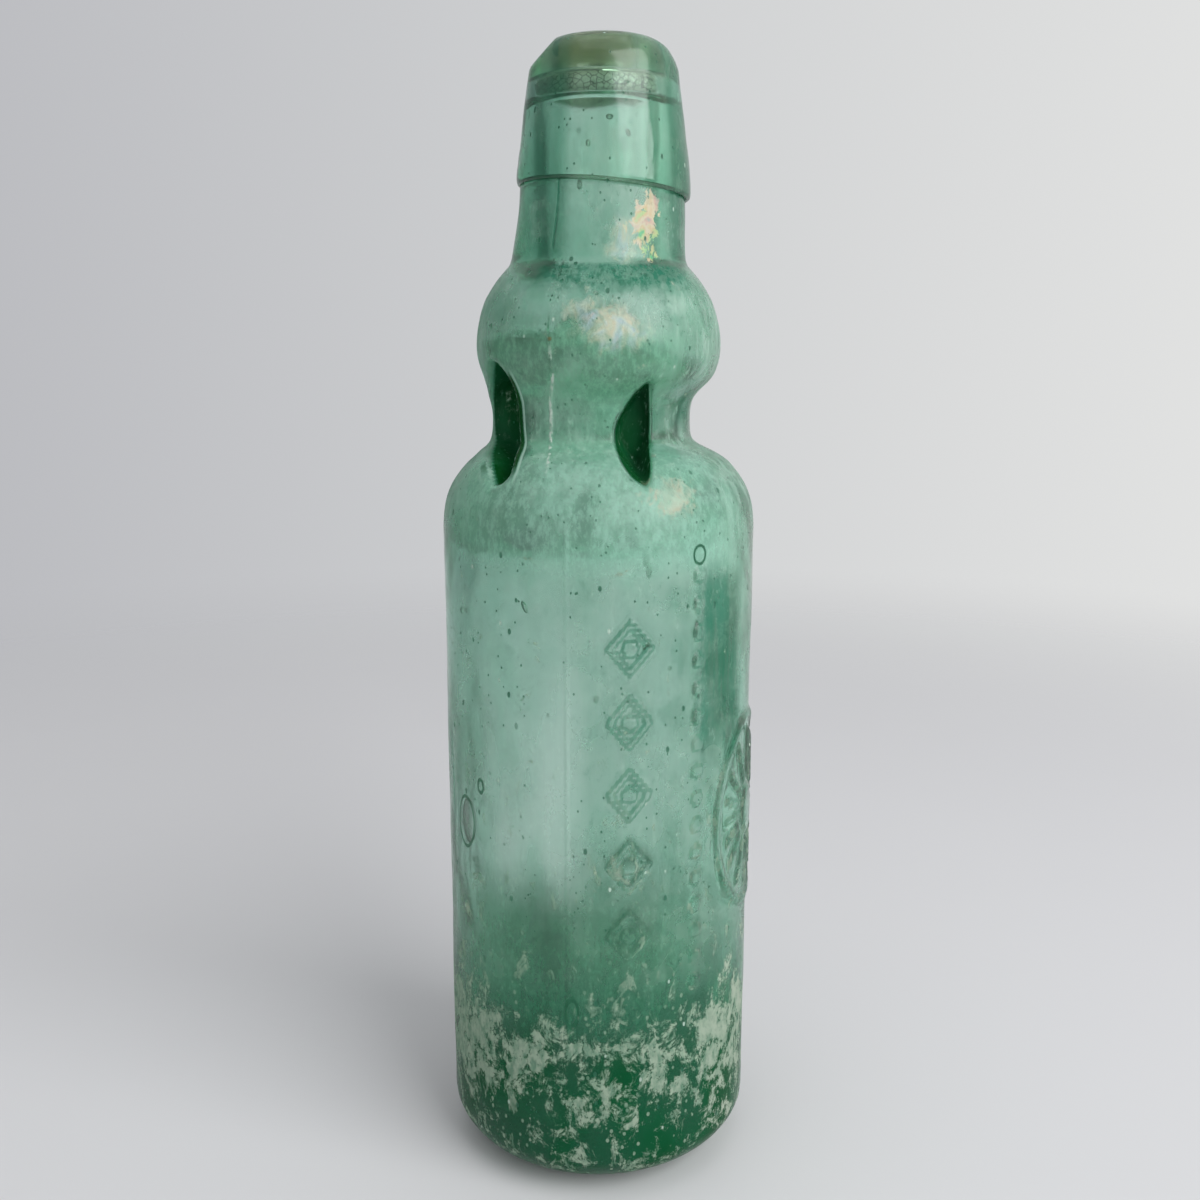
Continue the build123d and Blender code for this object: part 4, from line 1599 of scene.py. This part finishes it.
@dataclass
class AppliedLip:
    """The tooled lip: a skirt that laps the neck, a tapered wall, a dome, a flat from the tool, a groove."""

    columns: int = 220
    bore_radius: float = 9.9
    mouth_radius: float = 7.0
    groove_radius: float = 11.9
    groove_bottom: float = 212.4
    groove_top: float = 217.1
    underside: float = 197.72
    skirt_slope: float = 0.08
    lean: float = 1.0
    tool_bearing: float = 122.0
    tool_slope: tuple[float, float] = (0.737, 0.676)
    tool_start: tuple[float, float] = (9.0, 224.0)

    def line(self) -> np.ndarray:
        """The closed outline, from the skirt's lower edge over the rim and back."""
        corners = [(16.35, 196.75), (16.72, 196.95), (16.92, 197.8), (16.85, 200), (16.62, 202.7),
                   (16.24, 204.9), (15.9, 207.1), (15.45, 210.4), (14.97, 213.7), (14.5, 217),
                   (14.3, 218.9), (13.75, 220.7), (12.8, 222.2), (11.65, 223.25), (10.4, 223.9),
                   (9.3, 224.15), (8.1, 224.17), (7.45, 223.95), (7.1, 223.4),
                   (self.mouth_radius, 222.6), (self.mouth_radius, self.groove_top),
                   (self.groove_radius, self.groove_top), (self.groove_radius, self.groove_bottom),
                   (self.bore_radius, self.groove_bottom), (self.bore_radius, self.underside),
                   (15.9, self.underside), (16.06, self.underside - 0.1), (16.1, 197.2), (16.2, 196.85)]
        return soften(corners, 0.3, 0.05)

    def build(self) -> bpy.types.Object:
        """Makes the lip's mesh.

        Returns:
            The finished object.
        """
        line = pace(self.line(), lambda r, z: 0.5 if z < 199 else 0.8)
        angles = np.arange(self.columns) / self.columns * 2 * math.pi
        radius, z, turn, flat = turned(line, angles)
        outer = ease(radius, 12.2, 13.2) * ease(z, 198.2, 201)
        radius += outer * (0.10 * waves(flat, 15, 21) + 0.04 * waves(flat, 5, 22))
        x, y = radius * np.cos(turn), radius * np.sin(turn)
        z = z - ease(z, 205, 199) * self.skirt_slope * (LEAN_X * x + LEAN_Y * y)
        lean = self.lean * np.where(z > 217.6, ease(radius, 7.0, 9.0), ease(radius, 12, 14))
        points = np.stack([x + LEAN_X * lean, y + LEAN_Y * lean, z], axis=-1)
        points = self.flattened(points, (radius > 7.6) & (z > 213))
        inside = np.where((line[:, 0] < 12.0) & (line[:, 1] < 222), 1.0, 0.0)
        fields = {"inside": np.repeat(inside[:, None], len(angles), axis=1)}
        skin = Skin(points, np.zeros(len(points), dtype=bool), loop=True, fields=fields)
        return as_piece("tooled_lip", skin.mesh("tooled_lip", [
            Bubble(205.0, 208.0, 14.2, 0.35, 0.6, 0.5), Bubble(218.0, 205.3, 14.4, 0.3, 0.4, 0.7, 20),
            Bubble(190.0, 203.4, 14.6, 0.3, 0.4, 0.6)]))

    def flattened(self, points: np.ndarray, reached: np.ndarray) -> np.ndarray:
        """Presses the flat of the tool into the dome.

        Args:
            points: The lip's points.
            reached: Which of them the tool can reach.

        Returns:
            The points, none of them over the flat.
        """
        tool = math.radians(self.tool_bearing)
        (out, up), (start_radius, start_height) = self.tool_slope, self.tool_start
        normal = np.array([out * math.cos(tool), out * math.sin(tool), up])
        start = np.array([start_radius * math.cos(tool), start_radius * math.sin(tool), start_height])
        over = (points - start) @ normal
        cut = (over - smooth_least(over, np.zeros_like(over), 0.25)) * reached
        return points - cut[..., None] * normal


@dataclass
class SealRing:
    """The rubber ring in the lip's groove, shrunk and uneven with age."""

    middle_radius: float = 9.53
    section_radius: float = 2.27
    height: float = 214.75
    unevenness: float = 0.35

    def build(self, finish: bpy.types.Material) -> bpy.types.Object:
        """Sweeps the ring's section round its circle.

        Args:
            finish: The rubber.

        Returns:
            The finished object.
        """
        tree = bpy.data.node_groups.new("seal_ring", "GeometryNodeTree")
        face = tree.interface
        face.new_socket("Geometry", in_out="OUTPUT", socket_type="NodeSocketGeometry")
        face.new_socket("Geometry", in_out="INPUT", socket_type="NodeSocketGeometry")
        names = {name: face.new_socket(name, in_out="INPUT", socket_type="NodeSocketFloat").identifier
                 for name in ("Middle radius", "Section radius", "Height", "Unevenness")}
        bench = Bench(tree)
        source = bench.node("NodeGroupInput").outputs
        path = bench.node("GeometryNodeCurvePrimitiveCircle", None, {
            "Resolution": 160, "Radius": source["Middle radius"]})
        section = bench.node("GeometryNodeCurvePrimitiveCircle", None, {
            "Resolution": 36, "Radius": source["Section radius"]})
        swept = bench.node("GeometryNodeCurveToMesh", None, {0: path.outputs[0], 1: section.outputs[0]})
        spot = bench.node("GeometryNodeInputPosition")
        noise = bench.node("ShaderNodeTexNoise", None, {
            "Vector": spot.outputs[0], "Scale": 420.0, "Detail": 4.0})
        shrink = (Value(bench, noise.outputs["Fac"]) - 0.75) * source["Unevenness"]
        normal = bench.node("GeometryNodeInputNormal")
        shift = bench.node("ShaderNodeVectorMath", {"operation": "SCALE"}, {
            0: normal.outputs[0], "Scale": shrink})
        lift = bench.node("ShaderNodeCombineXYZ", None, {2: source["Height"]})
        move = bench.node("ShaderNodeVectorMath", {"operation": "ADD"}, {
            0: shift.outputs[0], 1: lift.outputs[0]})
        moved = bench.node("GeometryNodeSetPosition", None, {
            "Geometry": swept.outputs[0], "Offset": move.outputs[0]})
        real = bench.node("GeometryNodeRealizeInstances", None, {0: moved.outputs[0]})
        dressed = bench.node("GeometryNodeSetMaterial", None, {0: real.outputs[0], "Material": finish})
        bench.node("NodeGroupOutput", None, {0: dressed.outputs[0]})
        piece = as_piece("seal_ring", bpy.data.meshes.new("seal_ring_start"))
        modifier = piece.modifiers.new("ring", "NODES")
        modifier.node_group = tree
        for name, value in (("Middle radius", self.middle_radius), ("Section radius", self.section_radius),
                            ("Height", self.height), ("Unevenness", self.unevenness)):
            modifier[names[name]] = value * MM
        settle(piece)
        self.close(piece.data)
        return piece

    @staticmethod
    def close(mesh: bpy.types.Mesh) -> None:
        """Merges doubles, turns the faces outwards and shades them smooth."""
        work = bmesh.new()
        work.from_mesh(mesh)
        bmesh.ops.remove_doubles(work, verts=work.verts, dist=0.00001)
        bmesh.ops.recalc_face_normals(work, faces=work.faces)
        for part in work.faces:
            part.smooth = True
        work.to_mesh(mesh)
        work.free()


@dataclass
class GlassMarble:
    """The marble, a pressed glass ball that is not quite round."""

    radius: float = 8.96
    greatest_radius: float = 9.0
    subdivisions: int = 6
    flat_way: Triple = (0.3, 0.2, 0.93)
    flat_depth: float = 0.10

    def build(self) -> bpy.types.Object:
        """Makes the ball about the place of its solid.

        Returns:
            The finished object.
        """
        low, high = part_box("marble")
        centre = np.array([(a + b) / 2 / MM for a, b in zip(low, high)])
        work = bmesh.new()
        bmesh.ops.create_icosphere(work, subdivisions=self.subdivisions, radius=1.0)
        ways = np.array([vertex.co[:] for vertex in work.verts])
        ways /= np.linalg.norm(ways, axis=1, keepdims=True)
        surface = ways * self.radius
        radius = self.radius + 0.02 * waves(surface, 9, 31) + 0.006 * waves(surface, 2, 32)
        flat_way = np.array(self.flat_way) / np.linalg.norm(self.flat_way)
        radius -= self.flat_depth * ease(ways @ flat_way, 0.975, 0.99)
        places = (centre + ways * np.minimum(radius, self.greatest_radius)[:, None]) * MM
        for vertex, spot in zip(work.verts, places):
            vertex.co = spot
        for part in work.faces:
            part.smooth = True
        mesh = bpy.data.meshes.new("glass_marble")
        work.to_mesh(mesh)
        work.free()
        return as_piece("glass_marble", mesh)


# Studio


@dataclass
class Studio:
    """The pale floor and backdrop, the soft lamps and the camera."""

    turn: float = math.radians(-73.0)
    distance: float = 0.2448
    eye_height: float = 0.1613
    pitch: float = math.radians(10.4)
    lens: float = 36.09
    shift: float = 1.5 / 1200
    floor_colour: Colour = (0.72, 0.725, 0.735)
    dim_side: Colour = (0.20, 0.205, 0.22)
    backdrop_left: Colour = (0.49, 0.495, 0.52)
    backdrop_middle: Colour = (0.62, 0.63, 0.64)
    backdrop_right: Colour = (0.76, 0.765, 0.76)
    window_side: Colour = (0.92, 0.92, 0.90)
    fill: Colour = (0.46, 0.46, 0.475)
    dark_room: Colour = (0.03, 0.035, 0.035)
    aim_height: float = 0.12
    floor_radius: float = 1.6

    def camera(self) -> None:
        """Sets the camera as the photograph was taken."""
        data = bpy.data.cameras.new("camera")
        data.lens, data.sensor_width, data.clip_start = self.lens, 36.0, 0.01
        data.shift_x = self.shift
        camera = bpy.data.objects.new("camera", data)
        across, ahead = self.distance * math.sin(self.turn), self.distance * math.cos(self.turn)
        camera.location = (across, -ahead, self.eye_height)
        camera.rotation_euler = (math.pi / 2 - self.pitch, 0, self.turn)
        bpy.context.scene.collection.objects.link(camera)
        bpy.context.scene.camera = camera

    def backdrop_colour(self, bench: Bench, way: bpy.types.NodeSocket) -> bpy.types.NodeSocket:
        """The room's tone by direction: a window side on the right, a dim side on the left."""
        right = bench.node("ShaderNodeVectorMath", {"operation": "DOT_PRODUCT"}, {
            0: way, 1: (math.cos(self.turn), math.sin(self.turn), 0)})
        share = Value(bench, right.outputs["Value"]) * 0.5 + 0.5
        return bench.ramp(share, [
            (0.0, self.dim_side), (0.26, self.backdrop_left), (0.5, self.backdrop_middle),
            (0.74, self.backdrop_right), (1.0, self.window_side)])

    def world(self) -> None:
        """Level light from all round, and a pale backdrop for what sees it."""
        world = bpy.data.worlds.new("studio")
        bpy.context.scene.world = world
        world.use_nodes = True
        bench = Bench(world.node_tree)
        way = bench.node("ShaderNodeTexCoord").outputs["Generated"]
        rays = bench.node("ShaderNodeLightPath").outputs
        seen = bench.math("MAXIMUM", rays["Is Camera Ray"],
                          bench.math("MAXIMUM", rays["Is Glossy Ray"], rays["Is Transmission Ray"]))
        ahead = bench.node("ShaderNodeVectorMath", {"operation": "DOT_PRODUCT"}, {
            0: way, 1: (-math.sin(self.turn), math.cos(self.turn), 0)})
        behind = bench.step(Value(bench, ahead.outputs["Value"]), 0.15, -0.45) * rays["Is Glossy Ray"]
        room = bench.blend(behind * 0.86, self.backdrop_colour(bench, way), self.dark_room)
        colour = bench.blend(seen, self.fill, room)
        light = bench.node("ShaderNodeBackground", None, {"Color": colour, "Strength": 1.0})
        bench.node("ShaderNodeOutputWorld", None, {"Surface": light.outputs[0]})

    def lamp(self, name: str, bearing: float, rise: float, away: float, size: tuple[float, float],
             power: float) -> None:
        """Places an area lamp that looks at the bottle.

        Args:
            name: Its name.
            bearing: Degrees to the right of the camera, as the bottle sees it.
            rise: Degrees above the horizon.
            away: Its distance in metres.
            size: Its width and height in metres.
            power: Its power in watts.
        """
        data = bpy.data.lights.new(name, "AREA")
        data.shape, data.size, data.size_y, data.energy = "RECTANGLE", size[0], size[1], power
        side = self.turn + math.radians(bearing)
        level = away * math.cos(math.radians(rise))
        lamp = bpy.data.objects.new(name, data)
        height = self.aim_height + away * math.sin(math.radians(rise))
        lamp.location = (level * math.sin(side), -level * math.cos(side), height)
        lamp.rotation_euler = (math.pi / 2 - math.radians(rise), 0, side)
        bpy.context.scene.collection.objects.link(lamp)

    def floor(self) -> None:
        """A pale floor that fades into the backdrop."""
        work = bmesh.new()
        bmesh.ops.create_circle(work, cap_ends=True, segments=96, radius=self.floor_radius)
        mesh = bpy.data.meshes.new("floor")
        work.to_mesh(mesh)
        work.free()
        floor = as_piece("floor", mesh)
        made = bpy.data.materials.new("pale_floor")
        made.use_nodes = True
        bench = Bench(made.node_tree)
        place = bench.place()
        paper = bench.noise(place, 60, 4, 0.5)
        tone = bench.blend(paper * 0.5, self.floor_colour, tuple(v * 0.97 for v in self.floor_colour))
        matt = bench.node("ShaderNodeBsdfPrincipled", None, {"Base Color": tone, "Roughness": 0.85})
        reach = bench.near(place, (0, 0, 0), 820, 260)
        gone = bench.node("ShaderNodeBsdfTransparent")
        mixed = bench.layered(1 - reach, matt, gone)
        bench.node("ShaderNodeOutputMaterial", None, {"Surface": mixed.outputs[0]})
        mesh.materials.append(made)

    def set_up(self) -> None:
        """Builds the whole studio."""
        self.camera()
        self.world()
        self.lamp("window", 46, 30, 1.2, (0.95, 1.0), 13.5)
        self.lamp("ceiling", -10, 74, 1.3, (1.0, 1.0), 1.8)
        self.floor()
        bpy.context.scene.view_settings.view_transform = "Standard"


def finishes() -> dict[str, bpy.types.Material]:
    """The materials of all the pieces."""
    pearl = ((0.30, (0.50, 0.72, 0.62)), (0.42, (0.74, 0.82, 0.66)), (0.50, (0.86, 0.78, 0.58)),
             (0.57, (0.80, 0.86, 0.76)), (0.66, (0.60, 0.72, 0.80)), (0.76, (0.84, 0.66, 0.60)))
    flame = ((0.30, (0.16, 0.62, 0.30)), (0.38, (0.62, 0.76, 0.36)), (0.46, (0.82, 0.62, 0.38)),
             (0.54, (0.86, 0.76, 0.56)), (0.62, (0.80, 0.52, 0.44)), (0.72, (0.44, 0.56, 0.52)))
    chalk = ((0.32, (0.44, 0.60, 0.46)), (0.48, (0.66, 0.72, 0.56)), (0.56, (0.72, 0.60, 0.44)),
             (0.66, (0.52, 0.66, 0.54)))
    # The films lie where the window lamp's highlight falls and are partly painted highlights: a soft pearly
    # one on the globe, bright ones on the neck, a whitish one on the shoulder.
    films_and_highlights = (FilmHighlight(azimuth_point(203, 23.8, 170.5), 9.5, (1, 0.8, 1.1), 0.24, 0.86, 0.5, 0.80, pearl),
             FilmHighlight(azimuth_point(190, 23.4, 173.5), 6.5, (1, 0.8, 1.3), 0.18, 0.86, 0.5, 0.55, pearl),
             FilmHighlight(azimuth_point(228, 16.7, 189.0), 9.5, (1.5, 1.5, 1.0), 0.03, 0.70, 0.30, 0.88, flame),
             FilmHighlight(azimuth_point(232, 16.7, 193.0), 5.5, (1.6, 1.6, 0.8), 0.03, 0.68, 0.30, 0.80, flame),
             FilmHighlight(azimuth_point(213, 16.7, 186.0), 6.5, (1.1, 1.1, 0.7), 0.22, 0.84, 0.5, 0.45, pearl),
             FilmHighlight(azimuth_point(224, 29.2, 140.0), 12.0, (1, 0.9, 1.5), 0.10, 0.82, 0.42, 0.62, chalk))
    rust = ((azimuth_point(231, 27.6, 14.0), 1.6), (azimuth_point(175.5, 24.0, 168.5), 0.8))
    body = BodyGlass("weathered_aqua_glass", films_and_highlights=films_and_highlights, rust_spots=rust, haze=(
        (44.0, 134.0, 0.20), (134.0, 181.0, 0.50), (184.0, 240.0, 0.26)))
    lip = WeatheredGlass("tooled_aqua_glass", haze=((190.0, 240.0, 0.14),), polish=(0.03, 0.12),
                         dome_stain=0.9, haze_pale=(0.44, 0.62, 0.46), haze_deep=(0.20, 0.40, 0.28))
    marble = WeatheredGlass("marble_aqua_glass", haze=((0.0, 240.0, 0.10),), polish=(0.03, 0.15), limb_shade_share=0.0)
    return {"body": body.material(), "lip": lip.material(), "marble": marble.material(),
            "ring": PerishedRubber().material()}


def hand_over(piece: bpy.types.Object, body: str, node: str) -> None:
    """Says what a finished piece rides on and stands for.

    Args:
        piece: The finished piece.
        body: The moving body that it rides on.
        node: The solid that it stands for.
    """
    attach(piece, body)
    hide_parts(node)
    count = sum(len(part.vertices) - 2 for part in piece.data.polygons)
    LOG.info("%s rides on %s, stands for %s, %d triangles", piece.name, body, node, count)


def main() -> None:
    """Builds the bottle, then the studio."""
    logging.basicConfig(level=logging.INFO, format="%(message)s")
    made = finishes()
    body_sizes = BlownBody()
    body = body_sizes.build()
    body.data.materials.append(made["body"])
    seeds = SeedScatter(made["body"])
    seeds.strew(body, body_sizes.seed_density, seed=7, depth=(0.6, 2.2), radius=(0.10, 0.62))
    hand_over(body, "bottle", "bottle_body")
    lip = AppliedLip().build()
    lip.data.materials.append(made["lip"])
    hand_over(lip, "bottle", "applied_lip")
    ring = SealRing().build(made["ring"])
    hand_over(ring, "bottle", "rubber_ring")
    marble = GlassMarble().build()
    marble.data.materials.append(made["marble"])
    hand_over(marble, "marble", "marble")
    Studio().set_up()


if __name__ == "__main__":
    main()
